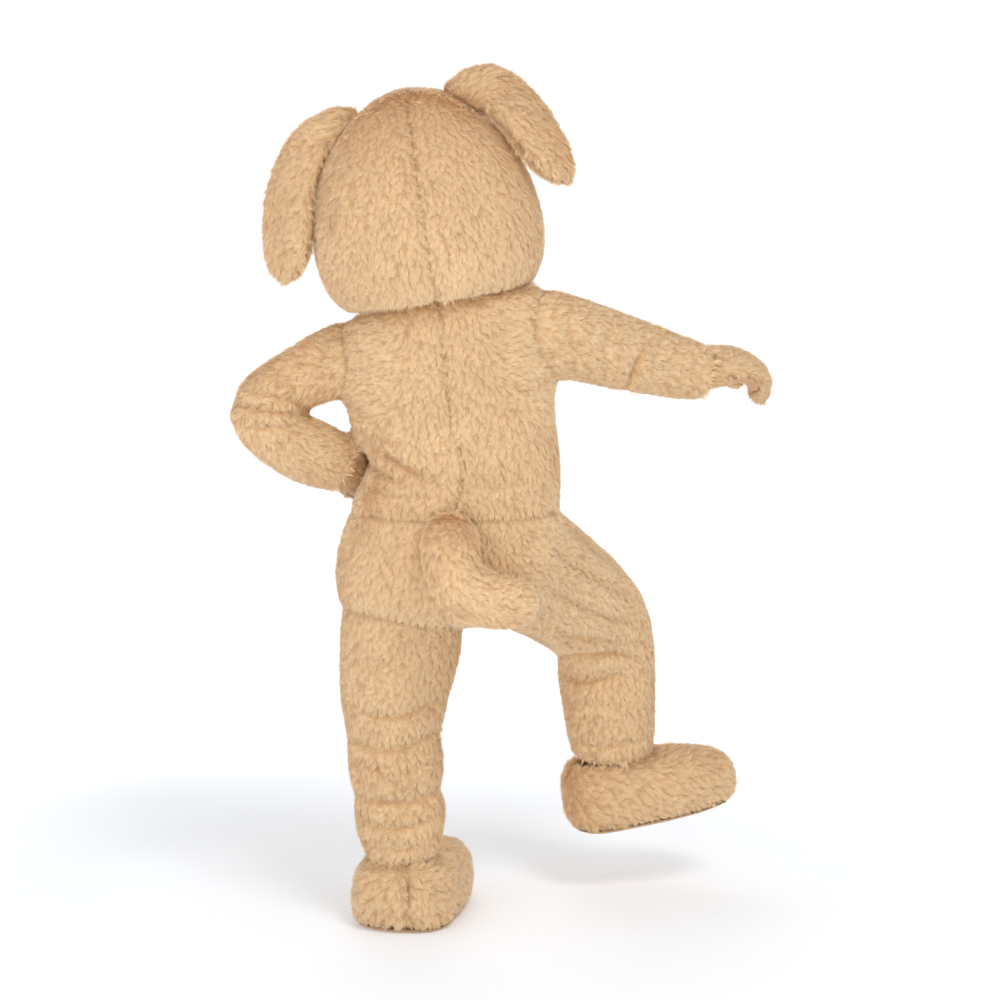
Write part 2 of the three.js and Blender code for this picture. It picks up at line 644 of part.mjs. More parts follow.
const cutters = {
  trunk: filled(trunk, SEAM, {
    rings: RINGS.seat + RINGS.body,
    columns: AROUND.trunk,
    row: trunkRow,
  }),
  head: filled(head, SEAM, { rings: head.last, columns: AROUND.head }),
  legLeft: filled(legLeft, -WALL.limb, { rings: RINGS.legLeft, columns: AROUND.leg }),
  legRight: filled(legRight, -WALL.limb, { rings: RINGS.legRight, columns: AROUND.leg }),
  sleeveLeft: filled(sleeveLeft, -WALL.limb, { rings: RINGS.sleeveLeft, columns: AROUND.sleeve }),
  sleeveRight: filled(sleeveRight, -WALL.limb, { rings: RINGS.sleeveRight, columns: AROUND.sleeve }),
  cuffLeft: filled(sleeveLeft, SEAM, { rings: RINGS.sleeveLeft, columns: AROUND.sleeve }),
  cuffRight: filled(sleeveRight, SEAM, { rings: RINGS.sleeveRight, columns: AROUND.sleeve }),
  footLeft: filled(footLeft, SEAM, { rings: RINGS.footCutter, columns: AROUND.foot }),
  footRight: filled(footRight, SEAM, { rings: RINGS.footCutter, columns: AROUND.foot }),
  muzzle: filled(muzzle, SEAM, { rings: RINGS.muzzle, columns: AROUND.muzzle }),
};

// Pieces

const root = new THREE.Group();
const costume = new THREE.Group();
costume.position.z = -CARRIED_AT;
root.add(costume);

function add(name, solid, finish) {
  const { vertProperties, triVerts } = solid.getMesh();
  const geometry = new THREE.BufferGeometry();
  geometry.setAttribute("position", new THREE.BufferAttribute(vertProperties, 3));
  geometry.setIndex(new THREE.BufferAttribute(triVerts, 1));
  geometry.computeVertexNormals();
  const mesh = new THREE.Mesh(geometry, new THREE.MeshStandardMaterial(FINISH[finish]));
  mesh.name = name;
  costume.add(mesh);
}

function addBody() {
  const holes = [cutters.head, cutters.sleeveLeft, cutters.sleeveRight];
  const quarter = AROUND.trunk / 4;
  const rows = { from: WAIST_ROW, rings: RINGS.body };
  const panels = {
    body_back_left: { ...rows, turns: [0, 90], columns: quarter },
    body_back_right: { ...rows, turns: [90, 180], columns: quarter },
    body_front: { ...rows, turns: [180, 360], columns: 2 * quarter },
  };
  for (const [name, shape] of Object.entries(panels))
    add(name, trimmed(panel(trunk, WALL.body, shape), ...holes), "plush");
}

function addSeat() {
  const holes = [cutters.legLeft, cutters.legRight];
  const quarter = AROUND.trunk / 4;
  const rows = { to: WAIST_ROW, rings: RINGS.seat };
  const panels = {
    seat_back_left: { ...rows, turns: [0, 90], columns: quarter },
    seat_back_right: { ...rows, turns: [90, 180], columns: quarter },
    seat_front: { ...rows, turns: [180, 360], columns: 2 * quarter },
  };
  for (const [name, shape] of Object.entries(panels))
    add(name, trimmed(panel(trunk, WALL.body, shape), ...holes), "plush");
}

function addLeg(side, form, rings, foot) {
  const columns = AROUND.leg / 2;
  const back = panel(form, WALL.limb, { turns: [0, 180], rings, columns });
  const front = panel(form, WALL.limb, { turns: [180, 360], rings, columns });
  add(`leg_${side}_back`, trimmed(back, cutters.trunk, foot), "plush");
  add(`leg_${side}_front`, trimmed(front, back, cutters.trunk, foot), "plush");
}

function addSleeve(side, form, rings) {
  const wall = panel(form, WALL.limb, { rings, columns: AROUND.sleeve });
  add(`sleeve_${side}`, trimmed(wall, cutters.trunk), "plush");
}

function addGlove(side, form, thumb, cuff) {
  const half = AROUND.glove / 2;
  const round = { rings: RINGS.thumb, columns: AROUND.thumb };
  const thumbBore = filled(thumb, -WALL.glove, round);
  const hand = filled(form, SEAM, { rings: RINGS.glove, columns: AROUND.glove });
  for (const [name, turns, finish] of [["back", [0, 180], "plush"], ["palm", [180, 360], "palm"]]) {
    const wall = panel(form, WALL.glove, { turns, rings: RINGS.glove, columns: half });
    add(`glove_${side}_${name}`, trimmed(wall, cuff, cutters.trunk, thumbBore), finish);
  }
  const thumbWall = panel(thumb, WALL.glove, round);
  add(`glove_${side}_thumb`, trimmed(thumbWall, hand, cuff, cutters.trunk), "plush");
}

function addFoot(side, form, leg) {
  const wall = panel(form, WALL.foot, { from: SOLE_ROW, rings: RINGS.foot, columns: AROUND.foot });
  add(`foot_${side}_upper`, trimmed(wall, leg), "plush");
  const under = { to: form.moved(SOLE_ROW, -SEAM), rings: RINGS.sole, columns: AROUND.foot };
  add(`foot_${side}_sole`, filled(form, 0, under), "sole");
}

function addHead() {
  const quarter = AROUND.head / 4;
  const below = { to: CROWN_SEAM_ROW, rings: CROWN_SEAM_ROW, columns: quarter };
  add("head_back_left", panel(head, WALL.head, { ...below, turns: [0, 90] }), "plush");
  add("head_back_right", panel(head, WALL.head, { ...below, turns: [90, 180] }), "plush");
  const front = panel(head, WALL.head, { turns: [180, 360], rings: head.last, columns: 2 * quarter });
  const overlap = 360 / AROUND.head;
  const crown = panel(head, WALL.head, {
    turns: [-overlap, 180 + overlap],
    from: CROWN_SEAM_ROW,
    rings: head.last - CROWN_SEAM_ROW,
    columns: 2 * quarter + 2,
  });
  add("head_face", front.add(crown), "plush");
}

function addFace() {
  const stuffed = filled(muzzle, 0, { rings: RINGS.muzzle, columns: AROUND.muzzle });
  add("muzzle", trimmed(stuffed, cutters.head), "plush");
  const ball = (x, y, z, half) => {
    const shape = new THREE.SphereGeometry(1, 12, 8).scale(half.x, half.y, half.z).translate(x, y, z);
    return solidOf(shape.applyMatrix4(headPlace));
  };
  add("nose", trimmed(ball(NOSE.x, NOSE.y, NOSE.z, NOSE.half), cutters.muzzle), "gloss");
  for (const [name, x] of [["eye_left", EYE.side], ["eye_right", -EYE.side]])
    add(name, trimmed(ball(x, EYE.y, EYE.z, EYE.half), cutters.head), "gloss");
}

// Each ear is two panels that meet in its middle and are sewn together along its edge. The inner one is
// what the whole ear has left beside the outer one.
function addEar(side, form, outerTurn) {
  const rings = form.last + 1;
  const half = AROUND.ear / 2;
  const row = (i) => (form.last * i) / rings;
  const outside = (i, j) => form.point(row(i), outerTurn + (180 * j) / half);
  const middle = (i, j) => {
    const { back } = form.frame(row(i));
    const found = outside(i, j);
    return found.addScaledVector(back, -found.clone().sub(form.centre(row(i))).dot(back));
  };
  const outer = wallBetween(outside, middle, rings, half, false);
  const apart = form.frame(form.last / 2).back.multiplyScalar(-SEAM);
  const whole = filled(form, 0, { rings, columns: AROUND.ear });
  const beside = outer.translate([apart.x, apart.y, apart.z]);
  add(`ear_${side}_outer`, trimmed(outer, cutters.head), "plush");
  add(`ear_${side}_inner`, trimmed(whole, outer, beside, cutters.head), "plush");
}

function addTail() {
  const stuffed = filled(tail, 0, { rings: RINGS.tail, columns: AROUND.tail });
  add("tail", trimmed(stuffed, cutters.trunk), "plush");
}

addHead();
addFace();
addEar("left", earLeft, 0);
addEar("right", earRight, 0);
addBody();
addSeat();
addTail();
addSleeve("left", sleeveLeft, RINGS.sleeveLeft);
addSleeve("right", sleeveRight, RINGS.sleeveRight);
addGlove("left", gloveLeft, thumbLeft, cutters.cuffLeft);
addGlove("right", gloveRight, thumbRight, cutters.cuffRight);
addLeg("left", legLeft, RINGS.legLeft, cutters.footLeft);
addLeg("right", legRight, RINGS.legRight, cutters.footRight);
addFoot("left", footLeft, cutters.legLeft);
addFoot("right", footRight, cutters.legRight);

export default root;
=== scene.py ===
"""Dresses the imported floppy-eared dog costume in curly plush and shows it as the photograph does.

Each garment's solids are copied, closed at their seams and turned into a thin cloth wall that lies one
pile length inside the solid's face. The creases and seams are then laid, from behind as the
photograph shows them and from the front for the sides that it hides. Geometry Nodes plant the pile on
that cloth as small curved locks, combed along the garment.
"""

import json
import logging
import math
from dataclasses import dataclass, field
from enum import Enum

import bmesh
import bpy
import numpy as np
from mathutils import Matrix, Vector, noise
from mathutils.bvhtree import BVHTree

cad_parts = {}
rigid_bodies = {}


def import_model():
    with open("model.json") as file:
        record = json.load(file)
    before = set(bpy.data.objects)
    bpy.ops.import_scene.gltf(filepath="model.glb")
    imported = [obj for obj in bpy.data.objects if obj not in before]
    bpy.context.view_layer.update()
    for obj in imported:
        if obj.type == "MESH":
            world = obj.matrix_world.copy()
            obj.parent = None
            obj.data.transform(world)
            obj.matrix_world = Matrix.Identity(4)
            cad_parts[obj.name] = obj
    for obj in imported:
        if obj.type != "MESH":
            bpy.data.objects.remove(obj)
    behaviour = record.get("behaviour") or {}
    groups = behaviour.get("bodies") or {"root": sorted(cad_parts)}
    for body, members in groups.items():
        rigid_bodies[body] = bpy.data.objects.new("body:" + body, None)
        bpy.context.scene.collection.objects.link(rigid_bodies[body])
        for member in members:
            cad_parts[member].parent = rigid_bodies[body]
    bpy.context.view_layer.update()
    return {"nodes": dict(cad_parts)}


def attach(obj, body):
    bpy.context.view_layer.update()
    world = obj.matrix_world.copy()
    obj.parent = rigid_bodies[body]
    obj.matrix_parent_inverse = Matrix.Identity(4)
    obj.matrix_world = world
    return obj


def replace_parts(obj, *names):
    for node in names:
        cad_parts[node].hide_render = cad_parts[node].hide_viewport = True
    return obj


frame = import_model()
LOG = logging.getLogger("costume")

MM = 0.001
SEED = 41
BODY = "root"
FLOOR = -1.4  # height of the floor under the standing foot
FAR = 10.0  # metres, farther than any measure here

Colour = tuple[float, float, float]
Line = tuple[tuple[float, ...], ...]


class Side(Enum):
    """The side from which a line on the cloth is drawn."""

    BACK = "photograph"
    FRONT = "front"


class Kind(Enum):
    """What a line on the cloth is."""

    CREASE = "crease"
    SEAM = "seam"


def linear(red: int, green: int, blue: int) -> Colour:
    """Turns an 8-bit screen colour into a linear one.

    Args:
        red: Red from 0 to 255.
        green: Green from 0 to 255.
        blue: Blue from 0 to 255.

    Returns:
        The three linear values.
    """
    parts = [v / 255 for v in (red, green, blue)]
    return tuple(v / 12.92 if v <= 0.04045 else ((v + 0.055) / 1.055) ** 2.4 for v in parts)


# Camera


@dataclass(frozen=True)
class PhotoCamera:
    """The photograph's camera, in the row frame."""

    place: tuple[float, float, float] = (-0.107, 5.0, 0.1)
    pitch: float = 6.44
    focal: float = 2325.0
    width: int = 1000
    sensor: float = 36.0

    def pixels(self, points: np.ndarray) -> np.ndarray:
        """Finds where points fall in the photograph.

        Args:
            points: Points in the row frame, one a row.

        Returns:
            Their pixel columns and rows.
        """
        slope = math.radians(self.pitch)
        ahead = np.array([0, -math.cos(slope), -math.sin(slope)])
        up = np.array([0, -math.sin(slope), math.cos(slope)])
        off = points - np.array(self.place)
        depth = off @ ahead
        middle = self.width / 2
        columns = middle - self.focal * off[:, 0] / depth
        rows = middle - self.focal * (off @ up) / depth
        return np.stack([columns, rows], axis=1)

    def build(self) -> bpy.types.Object:
        """Makes the camera the scene's own.

        Returns:
            The camera.
        """
        data = bpy.data.cameras.new("photo_camera")
        data.sensor_width = self.sensor
        data.lens = self.sensor * self.focal / self.width
        camera = bpy.data.objects.new("photo_camera", data)
        camera.location = self.place
        camera.rotation_euler = (math.radians(90 - self.pitch), 0, math.radians(180))
        bpy.context.scene.collection.objects.link(camera)
        bpy.context.scene.camera = camera
        return camera


PHOTO = PhotoCamera()


# Finishes


class Nodes:
    """Adds and links the nodes of one tree."""

    def __init__(self, tree: bpy.types.NodeTree) -> None:
        """Takes the tree to build in."""
        self.tree = tree

    def add(self, kind: str, inputs: dict | None = None, **settings: object) -> bpy.types.Node:
        """Adds a node.

        Args:
            kind: The node's type name.
            inputs: Values or output sockets, by the input's name or place.
            settings: The node's own settings.

        Returns:
            The node.
        """
        node = self.tree.nodes.new(kind)
        for name, value in settings.items():
            setattr(node, name, value)
        for key, value in (inputs or {}).items():
            if isinstance(value, bpy.types.NodeSocket):
                self.tree.links.new(value, node.inputs[key])
            else:
                node.inputs[key].default_value = value
        return node

    def attribute(self, name: str, data_type: str = "FLOAT") -> bpy.types.NodeSocket:
        """Returns the output that reads a named attribute."""
        made = self.add("GeometryNodeInputNamedAttribute", {"Name": name}, data_type=data_type)
        return made.outputs["Attribute"]

    def math(self, operation: str, first: object, second: object) -> bpy.types.NodeSocket:
        """Returns the output of a sum on two numbers."""
        return self.add("ShaderNodeMath", {0: first, 1: second}, operation=operation).outputs[0]

    def vector(self, operation: str, first: object, second: object) -> bpy.types.NodeSocket:
        """Returns the output of a sum on two vectors."""
        return self.add("ShaderNodeVectorMath", {0: first, 1: second}, operation=operation).outputs[0]

    def fade(self, value: object, start: float, end: float) -> bpy.types.NodeSocket:
        """Makes a number that falls smoothly from 1 to 0.

        Args:
            value: The number that is looked at.
            start: Where it gives 1.
            end: Where it gives 0.

        Returns:
            The output.
        """
        ends = {"From Min": start, "From Max": end, "To Min": 1.0, "To Max": 0.0}
        inputs = {"Value": value, **ends}
        return self.add("ShaderNodeMapRange", inputs, interpolation_type="SMOOTHSTEP").outputs[0]

    def scaled(self, vector: object, factor: object) -> bpy.types.NodeSocket:
        """Returns the output of a vector times a number."""
        return self.add("ShaderNodeVectorMath", {0: vector, "Scale": factor}, operation="SCALE").outputs[0]


def mottle_group() -> bpy.types.NodeTree:
    """Builds the shared group that mottles a colour and gives a fine height.

    Returns:
        The group.
    """
    group = bpy.data.node_groups.new("mottle", "ShaderNodeTree")
    for name, kind, value in (
        ("Colour", "NodeSocketColor", (0.5, 0.5, 0.5, 1)),
        ("Amount", "NodeSocketFloat", 0.1),
        ("Scale", "NodeSocketFloat", 40.0),
    ):
        group.interface.new_socket(name, in_out="INPUT", socket_type=kind).default_value = value
    group.interface.new_socket("Colour", in_out="OUTPUT", socket_type="NodeSocketColor")
    group.interface.new_socket("Height", in_out="OUTPUT", socket_type="NodeSocketFloat")
    nodes = Nodes(group)
    given = nodes.add("NodeGroupInput").outputs
    place = nodes.add("ShaderNodeTexCoord").outputs["Object"]
    spots = {"Vector": place, "Scale": given["Scale"], "Detail": 4.0}
    pattern = nodes.add("ShaderNodeTexNoise", spots).outputs[0]
    centred = nodes.math("MULTIPLY", nodes.math("SUBTRACT", pattern, 0.5), given["Amount"])
    factor = nodes.math("ADD", nodes.math("MULTIPLY", centred, 2.0), 1.0)
    nodes.add("NodeGroupOutput", {"Colour": nodes.scaled(given["Colour"], factor), "Height": pattern})
    return group


MOTTLE = mottle_group()


@dataclass(frozen=True)
class PlainFinish:
    """A cloth, rubber or plastic of one mottled colour."""

    name: str
    colour: Colour
    roughness: float
    amount: float = 0.0
    scale: float = 60.0
    relief: float = 0.0
    sheen: float = 0.0
    coat: float = 0.0

    def material(self) -> bpy.types.Material:
        """Builds the material.

        Returns:
            The material.
        """
        made = bpy.data.materials.new(self.name)
        made.use_nodes = True
        nodes = Nodes(made.node_tree)
        shader = made.node_tree.nodes["Principled BSDF"]
        shader.inputs["Roughness"].default_value = self.roughness
        shader.inputs["Sheen Weight"].default_value = self.sheen
        shader.inputs["Coat Weight"].default_value = self.coat
        shader.inputs["Base Color"].default_value = (*self.colour, 1)
        if self.amount:
            values = {"Colour": (*self.colour, 1), "Amount": self.amount, "Scale": self.scale}
            pattern = nodes.add("ShaderNodeGroup", node_tree=MOTTLE)
            for name, value in values.items():
                pattern.inputs[name].default_value = value
            made.node_tree.links.new(pattern.outputs["Colour"], shader.inputs["Base Color"])
            if self.relief:
                relief = {"Height": pattern.outputs["Height"], "Distance": self.relief}
                bump = nodes.add("ShaderNodeBump", relief)
                made.node_tree.links.new(bump.outputs["Normal"], shader.inputs["Normal"])
        return made


@dataclass(frozen=True)
class PileFinish:
    """Plush locks, darker at their roots partly by colour and partly as painted shade deep in the pile,
    whose map runs from root to tip and from dark to light locks.
    """

    name: str
    root: Colour
    middle: Colour
    tip: Colour
    darkest: Colour = (0.6, 0.49, 0.39)  # what the darkest lock keeps of the colour
    spread: Colour = (0.54, 0.65, 0.75)  # what the lightest lock has more than that
    sheen: float = 0.25
    softness: float = 0.75  # how far the clump's form takes the place of a lock's own
    underside_glow: float = 0.38  # painted glow: the locks' undersides emit the tip colour in place of light coming through them

    def material(self) -> bpy.types.Material:
        """Builds the material.

        Returns:
            The material.
        """
        made = bpy.data.materials.new(self.name)
        made.use_nodes = True
        nodes = Nodes(made.node_tree)
        shader = made.node_tree.nodes["Principled BSDF"]
        place = nodes.add("ShaderNodeUVMap", uv_map=PILE_MAP).outputs[0]
        split = nodes.add("ShaderNodeSeparateXYZ", {0: place}).outputs
        ramp = nodes.add("ShaderNodeValToRGB", {"Fac": split["X"]})
        stops = ramp.color_ramp.elements
        stops[0].position, stops[0].color = 0.05, (*self.root, 1)
        stops[1].position, stops[1].color = 1.0, (*self.tip, 1)
        stops.new(0.5).color = (*self.middle, 1)
        # Low tones darken a lock: random tone together with painted shade between clumps, in creases and
        # where pieces touch.
        tint = nodes.vector("ADD", nodes.scaled(self.spread, split["Y"]), self.darkest)
        tinted = nodes.vector("MULTIPLY", ramp.outputs["Color"], tint)
        made.node_tree.links.new(tinted, shader.inputs["Base Color"])
        form = nodes.add("ShaderNodeAttribute", attribute_name="form").outputs["Vector"]
        geometry = nodes.add("ShaderNodeNewGeometry").outputs
        share = nodes.math("MULTIPLY", nodes.math("SUBTRACT", 1.0, geometry["Backfacing"]), self.softness)
        own = nodes.scaled(geometry["Normal"], 1 - self.softness)
        soft = nodes.vector("NORMALIZE", nodes.vector("ADD", own, nodes.scaled(form, share)), (0, 0, 0))
        made.node_tree.links.new(soft, shader.inputs["Normal"])
        # Painted glow: a lock seen from below emits the tip colour, as if lit through from behind.
        underside_glow = nodes.math("MULTIPLY", geometry["Backfacing"], self.underside_glow)
        made.node_tree.links.new(nodes.scaled(self.tip, underside_glow), shader.inputs["Emission Color"])
        shader.inputs["Emission Strength"].default_value = 1.0
        shader.inputs["Roughness"].default_value = 0.8
        shader.inputs["Sheen Weight"].default_value = self.sheen
        shader.inputs["Sheen Roughness"].default_value = 0.5
        return made


PILE_MAP = "OFBake"
# The root colour is partly the fibres' own and partly painted shade where the roots lie deep in the pile.
PILE_COLOURS = (linear(207, 171, 125), linear(222, 192, 150), linear(232, 211, 176))
PILE = PileFinish("plush_pile", *PILE_COLOURS).material()
# Partly the backing cloth's own colour, partly painted shade: it is a little darker than the locks so the
# gaps between them look shaded.
BACKING = PlainFinish("plush_backing", linear(206, 164, 118), 0.95, amount=0.1, scale=90).material()
PALM = PlainFinish("palm_cloth", linear(192, 147, 107), 0.8, 0.25, 260, relief=0.0006, sheen=0.3).material()
SOLE = PlainFinish("sole", linear(190, 154, 116), 0.85, 0.3, 120, relief=0.0008).material()
GLOSS = PlainFinish("gloss", linear(22, 18, 16), 0.12, coat=0.6).material()


# Lines on the cloth


@dataclass(frozen=True)
class Stroke:
    """A crease, ridge or seam: a line seen from one side, its depth and its half width in millimetres."""

    kind: Kind
    side: Side
    points: Line
    depth: float
    width: float

    def measure(self, places: np.ndarray) -> tuple[np.ndarray, np.ndarray]:
        """Measures places against the line.

        Args:
            places: Two coordinates a row, in millimetres as seen from the line's side.

        Returns:
            Each place's distance, below zero on the line's right, and how far along the line it is.
        """
        line = np.array(self.points, dtype=float)
        best, along = np.full(len(places), np.inf), np.zeros(len(places))
        steps = np.diff(line, axis=0)
        lengths = np.linalg.norm(steps, axis=1)
        passed = 0.0
        for start, step, length in zip(line[:-1], steps, lengths):
            off = places - start
            part = np.clip((off @ step) / length**2, 0, 1)
            side = np.where(step[0] * off[:, 1] - step[1] * off[:, 0] < 0, -1, 1)
            away = np.linalg.norm(off - part[:, None] * step, axis=1) * side
            nearer = np.abs(away) < np.abs(best)
            best[nearer] = away[nearer]
            along[nearer] = (passed + part[nearer] * length) / lengths.sum()
            passed += length
        return best, along

    def reach(self, places: np.ndarray) -> np.ndarray:
        """Finds how deep the line is at places.

        Args:
            places: Two coordinates a row, in millimetres as seen from the line's side.

        Returns:
            1 in the middle of the line, 0 away from it and below 0 on the swellings beside it.
        """
        away, along = self.measure(places)
        off = (away / self.width) ** 2
        return (1 - 0.9 * off) * np.exp(-0.62 * off) * np.clip(4 * along * (1 - along), 0, 1) ** 0.6


DEEPER = 1.5  # the creases are laid deeper and wider than they look, because the pile evens them
WIDER = 1.35
PIXEL_MM = 2.15  # what a pixel of the photograph covers at the costume


def photo_strokes(kind: Kind, rows: list[tuple[Line, float, float]]) -> list[Stroke]:
    """Makes strokes from lines in the photograph's pixels.

    Args:
        kind: What the lines are.
        rows: Each line's points, its depth and its half width in millimetres.

    Returns:
        The strokes, in pixels times PIXEL_MM.
    """
    strokes = []
    for points, depth, width in rows:
        places = tuple((x * PIXEL_MM, y * PIXEL_MM) for x, y in points)
        strokes.append(Stroke(kind, Side.BACK, places, depth * DEEPER, width * WIDER))
    return strokes


HEEL_SEAMS = photo_strokes(Kind.SEAM, [(((413, 935), (408, 900), (404, 862)), 4, 8)])
CREASES = photo_strokes(
    Kind.CREASE,
    [
        (((372, 444), (396, 460), (420, 474), (446, 486)), 11, 8),
        (((366, 462), (388, 474), (412, 483)), 8, 7),
        (((462, 486), (500, 484), (540, 478)), 5, 7),
        (((360, 486), (392, 492), (424, 498)), 5, 6),
        (((362, 432), (384, 436), (402, 448)), 7, 7),
        (((346, 404), (366, 414), (382, 428)), 6, 8),
        (((553, 376), (536, 388), (516, 394)), 6, 8),
        (((470, 330), (500, 338), (528, 336)), 3, 8),
        (((380, 340), (400, 352), (424, 352)), 3, 8),
        (((318, 413), (292, 398), (262, 392), (240, 386)), 10, 7),
        (((318, 413), (290, 411), (258, 408), (232, 402)), 11, 7),
        (((318, 413), (294, 422), (266, 426), (242, 424)), 10, 7),
        (((312, 418), (296, 434), (276, 446), (262, 452)), 6, 6),
        (((330, 334), (326, 356), (318, 382)), 6, 6),
        (((312, 338), (306, 358), (296, 378)), 5, 6),
        (((570, 300), (566, 330), (574, 374)), 7, 6),
        (((592, 312), (586, 340), (590, 372)), 4, 6),
        (((612, 322), (602, 350), (606, 384)), 6, 6),
        (((645, 344), (634, 366), (622, 394)), 11, 7),
        (((660, 338), (652, 358), (650, 380)), 5, 6),
        (((690, 352), (692, 372), (700, 394)), 6, 6),
        (((348, 706), (378, 716), (412, 712), (446, 694)), 9, 8),
        (((342, 734), (374, 748), (410, 744), (444, 726)), 9, 8),
        (((352, 758), (378, 770), (402, 786), (420, 790)), 8, 7),
        (((446, 758), (420, 764), (396, 778)), 8, 7),
        (((350, 792), (380, 800), (412, 800), (444, 788)), 9, 8),
        (((354, 818), (384, 828), (416, 824), (444, 812)), 8, 8),
        (((362, 842), (396, 850), (438, 842)), 6, 7),
        (((340, 656), (366, 664), (398, 662)), 4, 8),
        (((560, 520), (580, 540), (606, 560), (628, 580)), 5, 8),
        (((548, 548), (572, 566), (604, 586), (640, 606)), 8, 8),
        (((536, 584), (566, 600), (604, 616), (646, 628)), 8, 8),
        (((540, 620), (570, 636), (606, 640), (650, 644)), 7, 8),
        (((554, 658), (580, 656), (612, 652), (640, 656)), 12, 8),
        (((558, 674), (590, 680), (622, 672)), 8, 7),
        (((562, 708), (592, 702), (628, 706)), 4, 8),
        (((566, 738), (600, 746), (656, 736)), 7, 7),
        (((344, 520), (364, 528), (384, 526)), 3, 8),
        (((505, 640), (530, 636), (552, 648)), 5, 8),
    ],
)
FRONT_CREASES = [
    Stroke(Kind.CREASE, Side.FRONT, points, depth, width)
    for points, depth, width in (
        (((-150, -430), (-70, -448), (20, -440), (110, -424)), 10, 16),
        (((-170, -520), (-90, -500), (10, -502), (90, -512)), 9, 15),
        (((-190, -300), (-140, -330), (-80, -340)), 7, 14),
        (((190, -320), (140, -352), (70, -364)), 8, 14),
        (((-300, -560), (-220, -590), (-150, -640)), 9, 15),
        (((-320, -620), (-230, -650), (-150, -700)), 9, 15),
        (((-440, -760), (-380, -790), (-320, -796)), 8, 14),
        (((-450, -940), (-390, -960), (-290, -950)), 8, 14),
        (((-440, -1040), (-380, -1056), (-290, -1046)), 8, 13),
        (((20, -930), (90, -950), (200, -936)), 9, 14),
        (((20, -1010), (110, -1030), (210, -1014)), 9, 14),
        (((30, -1090), (110, -1106), (200, -1092)), 9, 13),
        (((40, -1160), (110, -1174), (190, -1162)), 8, 13),
        (((300, -150), (330, -210), (330, -260)), 8, 12),
        (((350, -180), (380, -230), (440, -250)), 8, 12),
        (((-300, -60), (-290, -120), (-300, -180)), 8, 12),
        (((-400, -90), (-392, -140), (-404, -200)), 8, 12),
    )
]
STROKES = [*CREASES, *FRONT_CREASES, *HEEL_SEAMS]


# Meshes


def add_object(name: str, mesh: bpy.types.Mesh) -> bpy.types.Object:
    """Puts a mesh in the scene as an object at the origin.

    Args:
        name: The object's name.
        mesh: The mesh.

    Returns:
        The object.
    """
    made = bpy.data.objects.new(name, mesh)
    bpy.context.scene.collection.objects.link(made)
    return made


def evaluated(name: str, source: bpy.types.Object) -> bpy.types.Object:
    """Turns an object with its modifiers into a plain object of that name and removes the first.

    Args:
        name: The new object's name.
        source: The object with modifiers.

    Returns:
        The plain object.
    """
    graph = bpy.context.evaluated_depsgraph_get()
    mesh = bpy.data.meshes.new_from_object(source.evaluated_get(graph))
    old = source.data
    bpy.data.objects.remove(source)
    bpy.data.meshes.remove(old)
    mesh.name = name
    return add_object(name, mesh)


def closed_copy(name: str, nodes: tuple[str, ...]) -> bpy.types.Object:
    """Copies CAD nodes into one object of closed bodies.

    Args:
        name: The new object's name.
        nodes: The nodes to copy.

    Returns:
        The object.
    """
    build = bmesh.new()
    for node in nodes:
        build.from_mesh(frame["nodes"][node].data)
    bmesh.ops.remove_doubles(build, verts=build.verts, dist=1e-5)
    mesh = bpy.data.meshes.new(name)
    build.to_mesh(mesh)
    build.free()
    return add_object(name, mesh)


def remeshed(name: str, nodes: tuple[str, ...], voxel: float) -> bpy.types.Object:
    """Joins CAD nodes into one even mesh, closing the narrow seams between them.

    Args:
        name: The new object's name.
        nodes: The nodes to join.
        voxel: The size of a face, in metres.

    Returns:
        The object.
    """
    start = closed_copy(name + "_solid", nodes)
    even = start.modifiers.new("even", "REMESH")
    even.mode = "VOXEL"
    even.voxel_size = voxel
    return evaluated(name, start)


def column(mesh: bpy.types.Mesh, items: str, name: str, width: int, kind: type = np.float64) -> np.ndarray:
    """Reads one property of all of a mesh's parts as rows.

    Args:
        mesh: The mesh to read.
        items: The collection, such as vertices.
        name: The property, such as co.
        width: How many numbers it has.
        kind: The numbers' type.

    Returns:
        One row for each part.
    """
    source = getattr(mesh, items)
    found = np.empty(len(source) * width, dtype=np.float32 if kind is np.float64 else kind)
    source.foreach_get(name, found)
    return found.astype(kind).reshape(-1, width)


def evened(values: np.ndarray, edges: np.ndarray, rounds: int) -> np.ndarray:
    """Blends each vertex's values half and half with its neighbours'.

    Args:
        values: One row for each vertex.
        edges: Vertex pairs.
        rounds: How often to blend.

    Returns:
        The blended rows.
    """
    first = np.concatenate([edges[:, 0], edges[:, 1]])
    other = np.concatenate([edges[:, 1], edges[:, 0]])
    count = np.maximum(np.bincount(first, minlength=len(values)), 1)[:, None]
    for _ in range(rounds):
        sums = [np.bincount(first, weights=row[other], minlength=len(row)) for row in values.T]
        values = 0.5 * values + 0.5 * np.stack(sums, axis=1) / count
    return values


